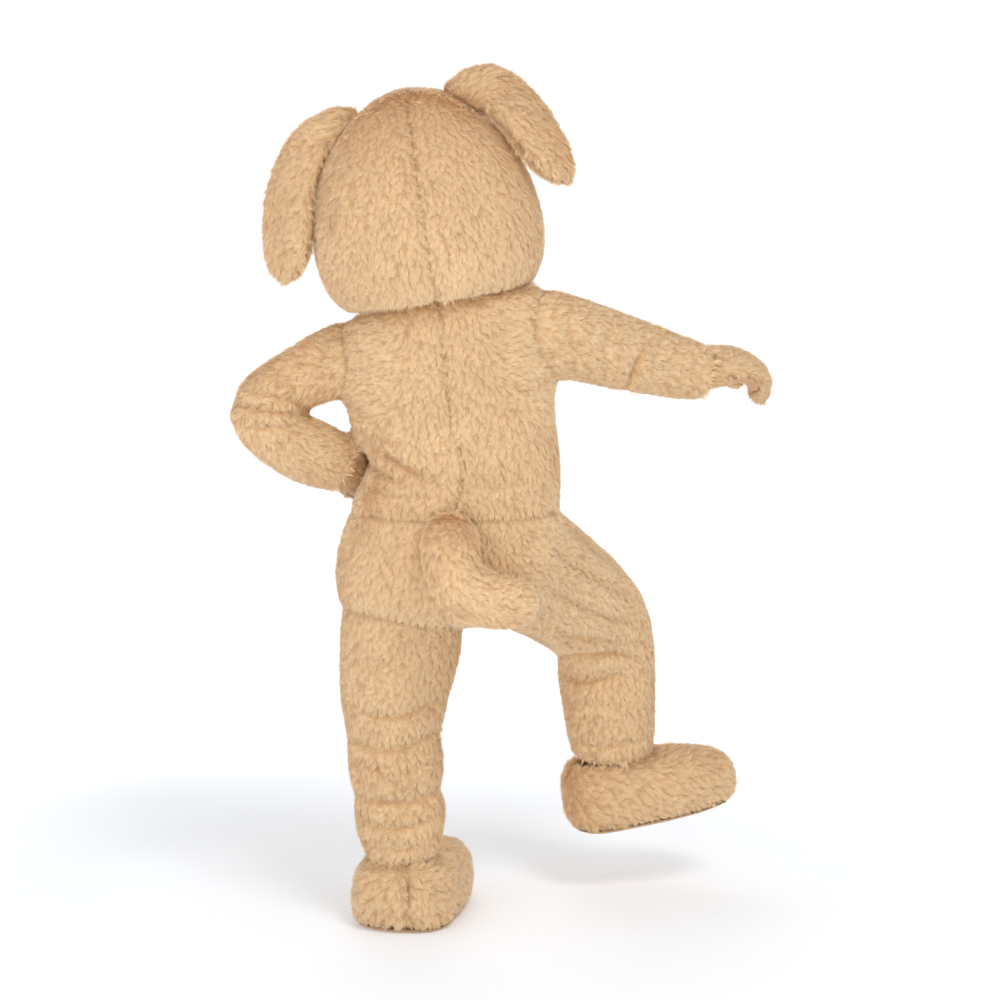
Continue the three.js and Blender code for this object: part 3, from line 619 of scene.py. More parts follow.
class Solids:
    """The CAD solids: which of their faces see the open, and how near a place is to their seams."""

    RAYS = 44
    OPEN = 0.12  # the share of free rays that a face needs
    CLEAR = 1e-4  # how far off its face a ray starts
    CONTACT = 0.028  # how far the painted shade from a touching piece reaches into the pile
    UNSEEN = (  # seams that the pile hides
        {"seat_back_right", "leg_right_back"},
        {"seat_back_right", "leg_right_front"},
        {"seat_front", "leg_right_back"},
        {"seat_front", "leg_right_front"},
        {"head_back_left", "head_face"},
        {"head_back_right", "head_face"},
    )

    def __init__(self) -> None:
        """Reads the solids and casts rays from every face."""
        self.parts = {name: self.mesh(node.data) for name, node in frame["nodes"].items()}
        points, faces = [], []
        for places, corners in self.parts.values():
            faces += [tuple(len(points) + k for k in face) for face in corners]
            points += places
        everything = BVHTree.FromPolygons(points, faces)
        ways = self.directions()
        self.trees = {name: BVHTree.FromPolygons(*part) for name, part in self.parts.items()}
        self.open = {
            name: [self.sees_out(everything, ways, [places[k] for k in face]) for face in faces]
            for name, (places, faces) in self.parts.items()
        }

    @staticmethod
    def mesh(data: bpy.types.Mesh) -> tuple[list[Vector], list[tuple[int, ...]]]:
        """Returns a mesh's points and faces."""
        return [v.co.copy() for v in data.vertices], [tuple(face.vertices) for face in data.polygons]

    @classmethod
    def directions(cls) -> list[Vector]:
        """Spreads directions evenly over a ball.

        Returns:
            The directions, each one unit long.
        """
        turn = math.pi * (3 - math.sqrt(5))
        heights = [1 - (2 * k + 1) / cls.RAYS for k in range(cls.RAYS)]
        flats = [math.sqrt(1 - height**2) for height in heights]
        return [
            Vector((flat * math.cos(turn * k), flat * math.sin(turn * k), height))
            for k, (height, flat) in enumerate(zip(heights, flats))
        ]

    @classmethod
    def sees_out(cls, tree: BVHTree, ways: list[Vector], corners: list[Vector]) -> bool:
        """Says whether a face sees the open.

        Args:
            tree: All the solids.
            ways: Directions to look in.
            corners: The face's three corners.

        Returns:
            True where enough of the ways are free.
        """
        normal = (corners[1] - corners[0]).cross(corners[2] - corners[0])
        if normal.length < 1e-12:
            return False
        normal.normalize()
        start = (corners[0] + corners[1] + corners[2]) / 3 + normal * cls.CLEAR
        ahead = [way for way in ways if way.dot(normal) > 0.15]
        free = sum(tree.ray_cast(start, way)[0] is None for way in ahead)
        return free > cls.OPEN * len(ahead)

    def contact(self, places: np.ndarray, nodes: tuple[str, ...]) -> np.ndarray:
        """Tells how closely other nodes lie.

        Args:
            places: Places, one a row.
            nodes: The nodes that are left out.

        Returns:
            For each place 1 where another node touches it, falling to 0 at CONTACT.
        """
        points, faces = [], []
        for name in self.parts.keys() - set(nodes):
            faces += [tuple(len(points) + k for k in face) for face in self.parts[name][1]]
            points += self.parts[name][0]
        tree = BVHTree.FromPolygons(points, faces)
        found = (tree.find_nearest(Vector(place), self.CONTACT)[3] for place in places)
        away = np.array([self.CONTACT if distance is None else distance for distance in found])
        return (1 - away / self.CONTACT) ** 1.5

    def tell(self, place: np.ndarray, nodes: tuple[str, ...]) -> tuple[bool, str, float]:
        """Tells what lies nearest a place.

        Args:
            place: The place.
            nodes: The nodes that are asked about.

        Returns:
            Whether the nearest face sees out, its node, and the distance to the nearest seam between
            two nodes, below zero on one side of it.
        """
        found = []
        for order, name in enumerate(nodes):
            _, _, face, away = self.trees[name].find_nearest(Vector(place))
            found.append((away, order, face))
        found.sort()
        away, order, face = found[0]
        seam = FAR
        if len(found) > 1 and {nodes[found[0][1]], nodes[found[1][1]]} not in self.UNSEEN:
            seam = (found[1][0] - away) * (1 if order < found[1][1] else -1)
        return self.open[nodes[order]][face], nodes[order], seam


@dataclass(frozen=True)
class Comb:
    """Lines along which a garment's pile is combed, in millimetres of the row frame."""

    lines: tuple[Line, ...]

    def follow(self, points: np.ndarray) -> tuple[np.ndarray, np.ndarray]:
        """Finds the pile's direction at each point, and the way out from the nearest line.

        Args:
            points: Points in metres, one a row.

        Returns:
            A unit vector along and one outwards for each.
        """
        best = np.full(len(points), np.inf)
        found, out = np.zeros_like(points), np.zeros_like(points)
        for line in self.lines:
            places = np.array(line, dtype=float) * MM
            for start, step in zip(places[:-1], np.diff(places, axis=0)):
                part = np.clip(((points - start) @ step) / (step @ step), 0, 1)
                off = points - start - part[:, None] * step
                away = np.linalg.norm(off, axis=1)
                nearer = away < best
                best[nearer] = away[nearer]
                found[nearer] = step / np.linalg.norm(step)
                out[nearer] = off[nearer] / np.maximum(away[nearer], 1e-9)[:, None]
        return found, out


# Pile


class Planting:
    """The node tree that plants locks on a cloth: in clumps, along the nap and darker along seams."""

    SOCKETS = (
        ("Cloth", "NodeSocketGeometry"),
        ("Shapes", "NodeSocketCollection"),
        ("Region", "NodeSocketString"),
        ("Spacing", "NodeSocketFloat"),
        ("Length", "NodeSocketFloat"),
        ("Width", "NodeSocketFloat"),
        ("Clump", "NodeSocketFloat"),
        ("Curl", "NodeSocketFloat"),
        ("Pull", "NodeSocketFloat"),
        ("Dome", "NodeSocketFloat"),
        ("Seed", "NodeSocketInt"),
        ("Material", "NodeSocketMaterial"),
    )
    MOST = 700000.0  # locks on a square metre before the spacing thins them
    SEAM_FROM = 0.001  # a seam is at its darkest up to here
    LINE_TO = 0.0045  # its dark line ends here
    BESIDE_TO = 0.012  # and the shade beside it here

    def __init__(self) -> None:
        """Builds the tree."""
        self.tree = bpy.data.node_groups.new("plant_pile", "GeometryNodeTree")
        for name, kind in self.SOCKETS:
            self.tree.interface.new_socket(name, in_out="INPUT", socket_type=kind)
        self.tree.interface.new_socket("Pile", in_out="OUTPUT", socket_type="NodeSocketGeometry")
        self.nodes = nodes = Nodes(self.tree)
        self.given = nodes.add("NodeGroupInput").outputs
        self.place = nodes.add("GeometryNodeInputPosition").outputs[0]
        self.scale = nodes.math("DIVIDE", 1.0, self.given["Clump"])
        cells = {"Vector": self.place, "Scale": self.scale}
        self.clump = nodes.add("ShaderNodeTexVoronoi", cells).outputs
        self.own = nodes.vector("SUBTRACT", self.clump["Color"], (0.5, 0.5, 0.5))
        self.own_parts = nodes.add("ShaderNodeSeparateXYZ", {0: self.own}).outputs
        near = nodes.math("ABSOLUTE", nodes.attribute("seam"), 0.0)
        self.line = nodes.fade(near, self.SEAM_FROM, self.LINE_TO)
        self.beside = nodes.fade(near, self.SEAM_FROM, self.BESIDE_TO)
        dressed = {"Geometry": self.mapped(self.planted()), "Material": self.given["Material"]}
        pile = nodes.add("GeometryNodeSetMaterial", dressed).outputs[0]
        nodes.add("NodeGroupOutput", {"Pile": pile})

    def chance(self, least: float, most: float, add: int) -> bpy.types.NodeSocket:
        """Makes a random number for each lock.

        Args:
            least: The least that it can be.
            most: The most that it can be.
            add: What is added to the seed, so that each use has numbers of its own.

        Returns:
            The output.
        """
        made = self.nodes.add("FunctionNodeRandomValue", data_type="FLOAT")
        floats = [socket for socket in made.inputs if socket.type == "VALUE" and socket.name != "ID"]
        for socket, value in zip(floats, (least, most)):
            socket.default_value = value
        self.tree.links.new(self.nodes.math("ADD", self.given["Seed"], add), made.inputs["Seed"])
        return next(socket for socket in made.outputs if socket.type == "VALUE")

    def turn(self) -> bpy.types.NodeSocket:
        """Combs each lock along the nap, curls it with its clump and pulls it to the clump's middle.

        Returns:
            The locks' rotation.
        """
        nodes = self.nodes
        calm = nodes.math("SUBTRACT", 2.0, nodes.math("MULTIPLY", self.line, 1.6))
        curl = nodes.scaled(self.own, nodes.math("MULTIPLY", self.given["Curl"], calm))
        pull = nodes.math("MULTIPLY", self.scale, self.given["Pull"])
        inward = nodes.scaled(nodes.vector("SUBTRACT", self.clump["Position"], self.place), pull)
        chances = {k: self.chance(-0.2, 0.2, k + 1) for k in range(3)}
        scatter = nodes.add("ShaderNodeCombineXYZ", chances).outputs[0]
        combed = nodes.attribute("nap", "FLOAT_VECTOR")
        for part in (curl, inward, scatter):
            combed = nodes.vector("ADD", combed, part)
        axes = {"Primary Axis": nodes.attribute("stand", "FLOAT_VECTOR"), "Secondary Axis": combed}
        turned = nodes.add("FunctionNodeAxesToRotation", axes, primary_axis="Z", secondary_axis="Y")
        return turned.outputs[0]

    def size(self) -> bpy.types.NodeSocket:
        """Sizes each lock: uneven from lock to lock and from clump to clump, and shorter in a seam.

        Returns:
            The locks' scale.
        """
        nodes = self.nodes
        grown = nodes.math("MULTIPLY", self.chance(0.8, 1.15, 4), nodes.attribute("growth"))
        shorter = nodes.math("SUBTRACT", 1.0, nodes.math("MULTIPLY", self.line, 0.35))
        uneven = nodes.math("ADD", nodes.math("MULTIPLY", self.own_parts["Y"], 0.35), 1.0)
        for factor in (shorter, uneven, self.given["Length"]):
            grown = nodes.math("MULTIPLY", grown, factor)
        width = nodes.math("MULTIPLY", self.chance(0.75, 1.25, 5), self.given["Width"])
        return nodes.add("ShaderNodeCombineXYZ", {0: width, 1: grown, 2: grown}).outputs[0]

    def tone(self) -> bpy.types.NodeSocket:
        """Tones each lock: lighter in its clump's middle and darker between clumps, as painted light and
        shade on each clump, and darker in seams.

        Returns:
            A number near 0 for a dark lock and near 1 for a light one.
        """
        nodes = self.nodes
        # Painted light and shade: locks in a clump's middle are lighter, those at its edge darker.
        middle = nodes.math("MULTIPLY", nodes.math("SUBTRACT", 0.4, self.clump["Distance"]), 0.55)
        clump = nodes.math("ADD", middle, nodes.math("MULTIPLY", self.own_parts["X"], 0.25))
        toned = nodes.math("ADD", nodes.attribute("tone"), self.chance(-0.2, 0.2, 6))
        toned = nodes.math("ADD", toned, clump)
        shade = nodes.math("MULTIPLY", self.beside, 0.3)
        dark = nodes.math("ADD", nodes.math("MULTIPLY", self.line, 0.95), shade)
        toned = nodes.math("MULTIPLY", nodes.math("SUBTRACT", toned, dark), 0.5)
        return nodes.math("ADD", toned, 0.78)

    def form(self) -> bpy.types.NodeSocket:
        """Rounds the cloth's form over each clump.

        Returns:
            The direction that a lock's shade is worked out from.
        """
        nodes = self.nodes
        reach = nodes.math("MULTIPLY", self.scale, self.given["Dome"])
        dome = nodes.scaled(nodes.vector("SUBTRACT", self.place, self.clump["Position"]), reach)
        summed = nodes.vector("ADD", nodes.attribute("form", "FLOAT_VECTOR"), dome)
        return nodes.vector("NORMALIZE", summed, (0, 0, 0))

    def stored(
        self,
        geometry: bpy.types.NodeSocket,
        name: str,
        value: bpy.types.NodeSocket,
        data_type: str,
        domain: str = "POINT",
    ) -> bpy.types.NodeSocket:
        """Stores a value as a named attribute.

        Args:
            geometry: The geometry.
            name: The attribute's name.
            value: The value.
            data_type: The attribute's type.
            domain: What carries it.

        Returns:
            The geometry with the attribute.
        """
        inputs = {"Geometry": geometry, "Name": name, "Value": value}
        kind = {"data_type": data_type, "domain": domain}
        return self.nodes.add("GeometryNodeStoreNamedAttribute", inputs, **kind).outputs[0]

    def planted(self) -> bpy.types.NodeSocket:
        """Spreads points over the region and sets a lock on each.

        Returns:
            The locks as one mesh.
        """
        nodes = self.nodes
        region = nodes.add("GeometryNodeInputNamedAttribute", {"Name": self.given["Region"]})
        spread = {
            "Mesh": self.given["Cloth"],
            "Distance Min": self.given["Spacing"],
            "Density Factor": region.outputs["Attribute"],
            "Seed": self.given["Seed"],
        }
        points = nodes.add("GeometryNodeDistributePointsOnFaces", spread, distribute_method="POISSON")
        points.inputs["Density Max"].default_value = self.MOST
        kept = self.stored(points.outputs["Points"], "lock_tone", self.tone(), "FLOAT")
        kept = self.stored(kept, "form", self.form(), "FLOAT_VECTOR")
        shapes = nodes.add("GeometryNodeCollectionInfo", {"Collection": self.given["Shapes"]})
        shapes.inputs["Separate Children"].default_value = True
        placed = {"Points": kept, "Instance": shapes.outputs[0]}
        turned = {"Rotation": self.turn(), "Scale": self.size()}
        stood = nodes.add("GeometryNodeInstanceOnPoints", {**placed, **turned})
        stood.inputs["Pick Instance"].default_value = True
        return nodes.add("GeometryNodeRealizeInstances", {"Geometry": stood.outputs[0]}).outputs[0]

    def mapped(self, locks: bpy.types.NodeSocket) -> bpy.types.NodeSocket:
        """Lays the map: root to tip across it, and each lock at the height of its tone.

        Args:
            locks: The locks as one mesh.

        Returns:
            The locks with their map.
        """
        nodes = self.nodes
        strip = nodes.add("ShaderNodeSeparateXYZ", {0: nodes.attribute("strip", "FLOAT_VECTOR")}).outputs
        tone = nodes.add("ShaderNodeClamp", {"Value": nodes.attribute("lock_tone")}).outputs[0]
        side = nodes.math("MULTIPLY", strip["Y"], 0.06)
        across = nodes.math("ADD", nodes.math("MULTIPLY", tone, 0.92), side)
        along = nodes.math("ADD", nodes.math("MULTIPLY", strip["X"], 0.96), 0.02)
        place = {0: along, 1: nodes.math("ADD", across, 0.01)}
        laid = nodes.add("ShaderNodeCombineXYZ", place).outputs[0]
        return self.stored(locks, PILE_MAP, laid, "FLOAT2", "CORNER")


class Locks:
    """The few shapes of a lock of pile, one unit long, and the node tree that plants them."""

    LEANS = ((-1.3, 0.3), (-0.5, 0.4), (0.4, 0.34), (1.2, 0.46))  # each shape's bend and rise

    def __init__(self) -> None:
        """Builds the lock shapes and the tree."""
        self.shapes = bpy.data.collections.new("locks")
        bpy.context.scene.collection.children.link(self.shapes)
        for k, (bend, rise) in enumerate(self.LEANS):
            self.shapes.objects.link(bpy.data.objects.new(f"lock_{k}", self.shape(bend, rise)))
        self.tree = Planting().tree

    @staticmethod
    def shape(bend: float, rise: float) -> bpy.types.Mesh:
        """Builds one lock, which stands on +Z and leans to +Y.

        Args:
            bend: How far its tip goes sideways, in widths.
            rise: How far its tip stands off, in lengths.

        Returns:
            The mesh, with the map "strip" from root to tip and across.
        """
        mesh = bpy.data.meshes.new("lock")
        mesh.from_pydata([(-0.5, 0, 0), (0.5, 0, 0), (bend, 0.94, rise)], [], [(0, 1, 2)])
        ends = ((0.0, 0.0), (0.0, 1.0), (1.0, 0.5))
        strip = mesh.uv_layers.new(name="strip")
        for loop in mesh.loops:
            strip.data[loop.index].uv = ends[loop.vertex_index]
        mesh.shade_smooth()
        return mesh

    def plant(
        self, name: str, cloth: bpy.types.Object, region: str, pile: "Pile", seed: int
    ) -> bpy.types.Object:
        """Plants one region's pile as a plain mesh.

        Args:
            name: The new object's name.
            cloth: The cloth that carries the attributes.
            region: The attribute that is 1 where the pile grows.
            pile: The pile's sizes.
            seed: The seed for what is random.

        Returns:
            The pile.
        """
        carrier = add_object(name + "_carrier", cloth.data.copy())
        planter = carrier.modifiers.new("plant", "NODES")
        planter.node_group = self.tree
        values = {
            "Shapes": self.shapes,
            "Region": region,
            "Spacing": pile.spacing,
            "Length": pile.length,
            "Width": pile.width,
            "Clump": pile.clump,
            "Curl": pile.curl,
            "Pull": pile.pull,
            "Dome": pile.dome,
            "Seed": seed,
            "Material": PILE,
        }
        for socket in self.tree.interface.items_tree:
            if socket.in_out == "INPUT" and socket.name in values:
                planter[socket.identifier] = values[socket.name]
        made = evaluated(name, carrier)
        for kept in [a.name for a in made.data.attributes if a.name not in (PILE_MAP, "position", "form")]:
            found = made.data.attributes.get(kept)
            if found and not found.is_internal and not found.is_required:
                made.data.attributes.remove(found)
        made.data.materials.clear()
        made.data.materials.append(PILE)
        made.data.shade_smooth()
        return made

    def clear(self) -> None:
        """Removes the lock shapes once all pile is planted."""
        for shape in list(self.shapes.objects):
            bpy.data.objects.remove(shape)
        bpy.data.collections.remove(self.shapes)


@dataclass(frozen=True)
class Pile:
    """The sizes of a garment's pile, in metres, and how it curls."""

    length: float = 0.0145
    width: float = 0.003
    spacing: float = 0.0015  # the least distance between two locks
    clump: float = 0.0112
    curl: float = 0.55  # how far each clump leans its own way
    pull: float = 0.95  # how strongly the locks of a clump lean together
    dome: float = 0.95  # how round a clump is shaded


# Garments


@dataclass
class Garment:
    """A furry garment: the nodes it is cut from, its cloth wall and its pile, region by region."""

    GROOVE_WIDTH = 10 * MM
    GROOVE_DEPTH = 5 * MM

    name: str
    nodes: tuple[str, ...]
    regions: dict[str, tuple[str, ...]]
    comb: Comb
    voxel: float = 0.008  # the size of the cloth's faces
    inset: float = 0.0038  # how far the cloth lies inside the solid's outer face
    inner: float = 0.003  # how far it stands off the solid's inner face
    rounds: int = 12  # how often the solid's facets are evened
    give: float = 0.003  # how far that may move the cloth
    pile: Pile = field(default_factory=Pile)
    finish: bpy.types.Material = BACKING
    slot: str = "plush"
    grows_to: float = FAR  # how far from the comb's start the pile grows
    contact_shade: float = 0.9  # how dark the painted shade is where another piece touches the pile
    rim_rounds: int = 5  # how wide the rims' longer pile is
    rim_growth: float = 0.4  # how much longer it is
    droop: float = 0.0  # how much the pile hangs
    tone: float = 0.0  # how much lighter the pile is

    def build(self, solids: Solids, locks: Locks) -> tuple[bpy.types.Object, list[bpy.types.Object]]:
        """Builds the cloth and its pile.

        Args:
            solids: The CAD solids.
            locks: Plants the pile.

        Returns:
            The cloth, and its pieces of pile.
        """
        cloth = remeshed(self.name, self.nodes, self.voxel)
        self.shape(cloth.data, solids)
        cloth.data.materials.clear()
        cloth.data.materials.append(self.finish)
        piles = [
            locks.plant(f"{self.name}_pile_{region}", cloth, region, self.pile, SEED + 10 * k)
            for k, region in enumerate(self.regions)
        ]
        for kept in [a.name for a in cloth.data.attributes if not a.is_internal and not a.is_required]:
            cloth.data.attributes.remove(cloth.data.attributes[kept])
        cloth.data.shade_smooth()
        finish_piece(cloth)
        for piece in piles:
            finish_piece(piece)
        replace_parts(cloth, *self.nodes)
        return cloth, piles

    def shape(self, mesh: bpy.types.Mesh, solids: Solids) -> None:
        """Moves the cloth inside its pile, lays the creases and seams, and stores what the pile needs.

        Args:
            mesh: The even mesh.
            solids: The CAD solids.
        """
        edges = column(mesh, "edges", "vertices", 2, np.int32)
        points = column(mesh, "vertices", "co", 3)
        told = [solids.tell(point, self.nodes) for point in points]
        along, out = self.comb.follow(points)
        facing = np.einsum("ij,ij->i", column(mesh, "vertex_normals", "vector", 3), out)
        outer = np.array([is_open for is_open, _, _ in told]) | (facing > 0.3)
        outer = evened(outer.astype(float)[:, None], edges, 2)[:, 0]
        shift = evened(points, edges, self.rounds) - points
        far = np.linalg.norm(shift, axis=1)[:, None]
        points = points + shift * np.minimum(1, self.give / np.maximum(far, 1e-9))
        place_points(mesh, points)
        stand = unit(evened(column(mesh, "vertex_normals", "vector", 3), edges, 3))
        crease, seam = self.marked(points, stand, outer, np.array([row[2] for row in told]))
        sewn = np.exp(-((seam / self.GROOVE_WIDTH) ** 2)) * outer
        move = self.inner * (1 - outer) - self.inset * outer - crease * MM - self.GROOVE_DEPTH * sewn
        points = points + stand * evened(move[:, None], edges, 1)
        place_points(mesh, points)
        form = unit(evened(column(mesh, "vertex_normals", "vector", 3), edges, 1))
        nap = unit(evened(along, edges, 14) + np.array((0, 0, -self.droop)))
        nap = unit(nap - stand * np.einsum("ij,ij->i", nap, stand)[:, None])
        # Painted shade where another piece touches the pile.
        shade = self.contact_shade * solids.contact(points, self.nodes)
        rim = np.clip(2.2 * evened(1 - outer[:, None], edges, self.rim_rounds)[:, 0], 0, 1)
        patches = np.array([[noise.noise(Vector(p) * 8), noise.noise(Vector(p) * 30)] for p in points])
        tone = self.tone + 0.14 * patches[:, 0] + 0.12 * patches[:, 1]
        values = {
            "nap": nap,
            "stand": unit(0.6 * stand + 0.4 * form),
            "form": form,
            "seam": seam,
            # Painted shade: the pile's tone is darkened in creases and where another piece touches it.
            "tone": tone - 0.03 * np.maximum(crease, 0) - shade,
            "growth": 1 + 0.2 * patches[:, 1] + self.rim_growth * rim,
        }
        start = np.array(self.comb.lines[0][0]) * MM
        grows = (outer > 0.4) & (np.linalg.norm(points - start, axis=1) < self.grows_to)
        for region, nodes in self.regions.items():
            values[region] = np.array([row[1] in nodes for row in told]) * grows
        for name, rows in values.items():
            store(mesh, name, rows)

    @staticmethod
    def marked(
        points: np.ndarray, stand: np.ndarray, outer: np.ndarray, seam: np.ndarray
    ) -> tuple[np.ndarray, np.ndarray]:
        """Works out the creases' depth and the seams' distance at each vertex.

        Args:
            points: The vertices.
            stand: Their normals.
            outer: 1 on the outside.
            seam: The distance from the solids' seams, in metres.

        Returns:
            The depth in millimetres, and the distance from the nearest seam of either kind.
        """
        towards = unit(np.array(PHOTO.place) - points)
        places = {Side.BACK: PHOTO.pixels(points) * PIXEL_MM, Side.FRONT: points[:, [0, 2]] / MM}
        seen = {
            Side.BACK: np.clip(4 * (np.einsum("ij,ij->i", towards, stand) + 0.1), 0, 1) * outer,
            Side.FRONT: np.clip(4 * (-stand[:, 1] - 0.05), 0, 1) * outer,
        }
        depth = np.zeros(len(points))
        for side in Side:
            creases = [stroke for stroke in STROKES if (stroke.kind, stroke.side) == (Kind.CREASE, side)]
            depth = depth + sum(crease.depth * crease.reach(places[side]) for crease in creases) * seen[side]
        for sewn in (stroke for stroke in STROKES if stroke.kind is Kind.SEAM):
            away, _ = sewn.measure(places[sewn.side])
            away = np.where(seen[sewn.side] > 0.2, away * MM, FAR)
            seam = np.where(np.abs(away) < np.abs(seam), away, seam)
        return depth, seam


def unit(rows: np.ndarray) -> np.ndarray:
    """Returns the rows as unit vectors."""
    return rows / np.maximum(np.linalg.norm(rows, axis=1), 1e-9)[:, None]


def place_points(mesh: bpy.types.Mesh, points: np.ndarray) -> None:
    """Moves a mesh's vertices to new places."""
    mesh.vertices.foreach_set("co", points.astype(np.float32).ravel())
    mesh.update()


def store(mesh: bpy.types.Mesh, name: str, rows: np.ndarray) -> None:
    """Stores a number or a vector for each vertex as a named attribute."""
    kind, key = ("FLOAT", "value") if rows.ndim == 1 else ("FLOAT_VECTOR", "vector")
    mesh.attributes.new(name, kind, "POINT").data.foreach_set(key, rows.astype(np.float32).ravel())


def finish_piece(piece: bpy.types.Object) -> bpy.types.Object:
    """Lets a piece ride with the costume and reports it.

    Args:
        piece: The piece.

    Returns:
        The same piece.
    """
    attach(piece, BODY)
    piece.data.calc_loop_triangles()
    LOG.info("%s: %d triangles", piece.name, len(piece.data.loop_triangles))
    return piece


def cloth_area(piece: bpy.types.Object) -> float:
    """Returns half the area of a closed wall, in square metres."""
    return sum(face.area for face in piece.data.polygons) / 2


# Garments' middle lines, in millimetres


SPINE = ((30, 0, -10), (0, 0, -150), (-20, 0, -400), (-5, 0, -620))
ARM_LEFT_UPPER = ((168, -4, -144), (260, 8, -172), (344, 46, -206), (403, 78, -266))
ARM_LEFT = (*ARM_LEFT_UPPER, (356, 54, -328), (243, -22, -389))
ARM_RIGHT = ((-150, -2, -102), (-242, -14, -112), (-334, -76, -138), (-430, -134, -166), (-562, -184, -201))
LEG_LEFT = ((108, 0, -700), (117, -3, -832), (125, 0, -938), (118, 8, -1110), (102, 14, -1258))
LEG_RIGHT_UPPER = ((-160, -52, -610), (-212, -112, -655), (-314, -236, -750))
LEG_RIGHT = (*LEG_RIGHT_UPPER, (-351, -288, -852), (-368, -290, -1098))
HEAD_BACK_LINE = ((94, 96, 392), (90, 124, 330), (64, 110, 150), (30, 60, -40))
HEAD_FACE_LINE = ((88, -40, 412), (86, -110, 396), (82, -180, 330), (70, -210, 160), (40, -190, -30))
EAR_LEFT = ((192, -4, 334), (282, 4, 304), (332, 16, 200), (346, 22, 76), (352, 22, -4))
EAR_RIGHT = ((0, 2, 372), (-86, 12, 412), (-166, 42, 340), (-232, 72, 242), (-258, 80, 208))
TAIL_LINE = ((-2, 214, -470), (-4, 240, -555), (-20, 252, -603), (-84, 250, -645), (-181, 239, -652))
HAND_LEFT = ((262, -6, -382), (206, -98, -410), (150, -168, -434), (106, -201, -447))
HAND_RIGHT = ((-540, -176, -194), (-616, -206, -183), (-680, -230, -209), (-677, -238, -269))
FOOT_LEFT = ((116, 100, -1300), (100, 0, -1330), (60, -140, -1350), (29, -262, -1360))
FOOT_RIGHT = ((-270, -280, -1190), (-400, -297, -1180), (-500, -311, -1175), (-640, -330, -1150))
MUZZLE_LINE = ((75, -316, 160), (70, -180, 160))


def garments() -> list[Garment]:
    """Lists all furry garments.

    Returns:
        The garments, in the order in which they are built.
    """
    seat = ("seat_back_left", "seat_back_right", "seat_front")
    body = Garment(
        "body_suit",
        ("body_back_left", "body_back_right", "body_front", *seat, "sleeve_left", "sleeve_right",
         "leg_left_back", "leg_left_front", "leg_right_back", "leg_right_front"),
        {
            "back": ("body_back_left", "body_back_right"),
            "front": ("body_front",),
            "seat": seat,
            "sleeves": ("sleeve_left", "sleeve_right"),
            "leg_left": ("leg_left_back", "leg_left_front"),
            "leg_right": ("leg_right_back", "leg_right_front"),
        },
        Comb((SPINE, ARM_LEFT, ARM_RIGHT, LEG_LEFT, LEG_RIGHT)),
        voxel=0.0105,
        rim_growth=0.7,
    )
    head = Garment(
        "head",
        ("head_back_left", "head_back_right", "head_face"),
        {"back": ("head_back_left", "head_back_right"), "face": ("head_face",)},
        Comb((HEAD_BACK_LINE, HEAD_FACE_LINE)),
        voxel=0.0105,
        inset=0.0022,
        inner=0.0,
    )
    muzzle = Garment("muzzle_cloth", ("muzzle",), {"fur": ("muzzle",)}, Comb((MUZZLE_LINE,)), voxel=0.007,
                     inset=0.003, pile=Pile(length=0.011, curl=0.3))
    small = {"voxel": 0.006, "rounds": 8, "pile": Pile(length=0.016, curl=0.5)}
    ears = [
        Garment(f"ear_{side}", (f"ear_{side}_outer", f"ear_{side}_inner"),
                {"fur": (f"ear_{side}_outer", f"ear_{side}_inner")}, Comb((line,)),
                inset=inset, contact_shade=0.5, **small)
        for side, line, inset in (("left", EAR_LEFT, 0.0), ("right", EAR_RIGHT, -0.0035))
    ]
    tail = Garment("tail_tube", ("tail",), {"fur": ("tail",)}, Comb((TAIL_LINE,)),
                   inset=0.001, contact_shade=0.0, tone=0.18, **small)
    gloves = [
        Garment(f"glove_{side}", (f"glove_{side}_back", f"glove_{side}_thumb"),
                {"fur": (f"glove_{side}_back", f"glove_{side}_thumb")}, Comb((line,)), voxel=0.005,
                inset=0.0006, inner=0.0, rounds=4, contact_shade=0.4, pile=Pile(length=0.013, curl=0.5))
        for side, line in (("left", HAND_LEFT), ("right", HAND_RIGHT))
    ]
    palms = [
        Garment(f"palm_{side}", (f"glove_{side}_palm",), {"cuff": (f"glove_{side}_palm",)}, Comb((line,)),
                voxel=0.005, inset=0.0, inner=0.0, rounds=4, pile=Pile(length=0.013, curl=0.5), finish=PALM,
                slot="palm", grows_to=0.075, contact_shade=0.4)
        for side, line in (("left", HAND_LEFT), ("right", HAND_RIGHT))
    ]
    feet = [
        Garment(f"foot_{side}", (f"foot_{side}_upper",), {"fur": (f"foot_{side}_upper",)}, Comb((line,)),
                voxel=0.007, inset=0.002, inner=0.001, droop=0.45, rim_growth=0.0,
                pile=Pile(length=0.0175, clump=0.014, curl=0.6))
        for side, line in (("left", FOOT_LEFT), ("right", FOOT_RIGHT))
    ]
    return [body, head, muzzle, *ears, tail, *gloves, *palms, *feet]


# Smooth pieces


@dataclass
class SmoothPieces:
    """Pieces without cloth: soles, nose and eyes."""

    ball_levels: int = 2

    def build(self) -> None:
        """Builds them all."""
        for side in ("left", "right"):
            sole = frame["nodes"][f"foot_{side}_sole"]
            sole.data.materials.clear()
            sole.data.materials.append(SOLE)
        for name in ("nose", "eye_left", "eye_right"):
            self.ball(name)

    def ball(self, node: str) -> None:
        """Rounds off one glossy ball.

        Args:
            node: The node that it replaces.
        """
        start = closed_copy(node + "_solid", (node,))
        rounded = start.modifiers.new("round", "SUBSURF")
        rounded.levels = rounded.render_levels = self.ball_levels
        made = evaluated(node + "_ball", start)
        made.data.materials.clear()
        made.data.materials.append(GLOSS)
        made.data.shade_smooth()
        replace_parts(finish_piece(made), node)


# Stage


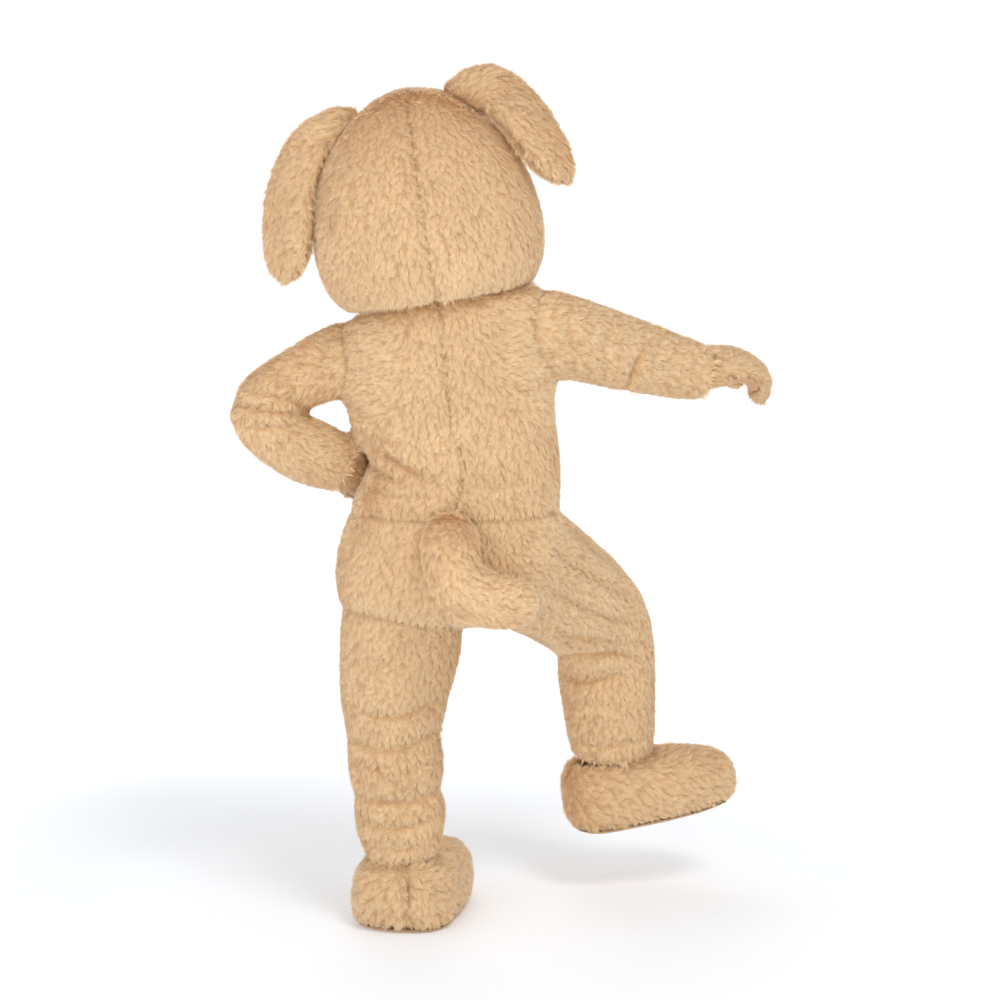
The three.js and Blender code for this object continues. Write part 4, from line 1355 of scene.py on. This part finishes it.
@dataclass(frozen=True)
class Stage:
    """A white floor and soft light, with the faint shadow that the photograph shows."""

    floor_size: float = 60.0
    near_glow: float = 0.17
    far_glow: float = 0.55
    glow_from: float = 1.75  # the floor glows near_glow up to here
    glow_to: float = 3.4  # and far_glow from here on
    sky: float = 0.64
    backdrop: float = 1.1
    key_power: float = 306.0
    key_size: float = 3.2
    fill_power: float = 62.0
    front_power: float = 42.0

    def build(self) -> None:
        """Builds the floor, the lights and the sky."""
        half = self.floor_size / 2
        mesh = bpy.data.meshes.new("floor")
        corners = [(-half, -half, FLOOR), (half, -half, FLOOR), (half, half, FLOOR), (-half, half, FLOOR)]
        mesh.from_pydata(corners, [], [(0, 1, 2, 3)])
        white = PlainFinish("white_floor", (0.86, 0.885, 0.92), 1.0).material()
        shader = white.node_tree.nodes["Principled BSDF"]
        shader.inputs["Emission Color"].default_value = (1, 1, 1, 1)
        nodes = Nodes(white.node_tree)
        place = nodes.add("ShaderNodeTexCoord").outputs["Object"]
        away = nodes.add("ShaderNodeVectorMath", {0: place}, operation="LENGTH").outputs["Value"]
        reach = {"From Min": self.glow_from, "From Max": self.glow_to}
        glows = {"To Min": self.near_glow, "To Max": self.far_glow}
        glow = nodes.add("ShaderNodeMapRange", {"Value": away, **reach, **glows})
        white.node_tree.links.new(glow.outputs[0], shader.inputs["Emission Strength"])
        mesh.materials.append(white)
        add_object("floor", mesh)
        self.lamp("key", (-3.3, 5.6, 6.9), (-0.1, 0, -0.5), self.key_power, self.key_size)
        self.lamp("fill", (1.6, 4.2, -0.6), (0, 0, -1.0), self.fill_power, 2.4)
        self.lamp("front", (0.6, -4.2, 2.6), (0, 0, -0.3), self.front_power, 3.0)
        self.surround()

    @staticmethod
    def lamp(
        name: str, place: tuple[float, ...], target: tuple[float, ...], power: float, size: float
    ) -> None:
        """Adds one square area light.

        Args:
            name: The light's name.
            place: Where it hangs.
            target: What it points at.
            power: Its power in watts.
            size: The length of its side.
        """
        data = bpy.data.lights.new(name, "AREA")
        data.energy, data.size = power, size
        made = bpy.data.objects.new(name, data)
        made.location = place
        made.rotation_euler = (Vector(target) - Vector(place)).to_track_quat("-Z", "Y").to_euler()
        bpy.context.scene.collection.objects.link(made)

    def surround(self) -> None:
        """Sets the white sky and how colours are shown."""
        scene = bpy.context.scene
        world = bpy.data.worlds.new("white")
        world.use_nodes = True
        nodes = Nodes(world.node_tree)
        ground = world.node_tree.nodes["Background"]
        ground.inputs["Color"].default_value = (1, 1, 1, 1)
        seen = nodes.add("ShaderNodeLightPath").outputs["Is Camera Ray"]
        strength = nodes.math("ADD", nodes.math("MULTIPLY", seen, self.backdrop - self.sky), self.sky)
        world.node_tree.links.new(strength, ground.inputs["Strength"])
        scene.world = world
        scene.view_settings.view_transform = "Standard"
        scene.view_settings.look = "None"


# Cut of the cloth


def main() -> None:
    """Builds the costume and its stage."""
    logging.basicConfig(level=logging.INFO, format="%(message)s")
    PHOTO.build()
    solids = Solids()
    locks = Locks()
    for garment in garments():
        cloth, piles = garment.build(solids, locks)
        LOG.info("%s: %.3f square metres of cloth", cloth.name, cloth_area(cloth))
    locks.clear()
    SmoothPieces().build()
    total = sum(len(piece.data.polygons) for piece in bpy.context.scene.objects if piece.type == "MESH")
    LOG.info("all pieces: %d faces", total)
    Stage().build()


if __name__ == "__main__":
    main()
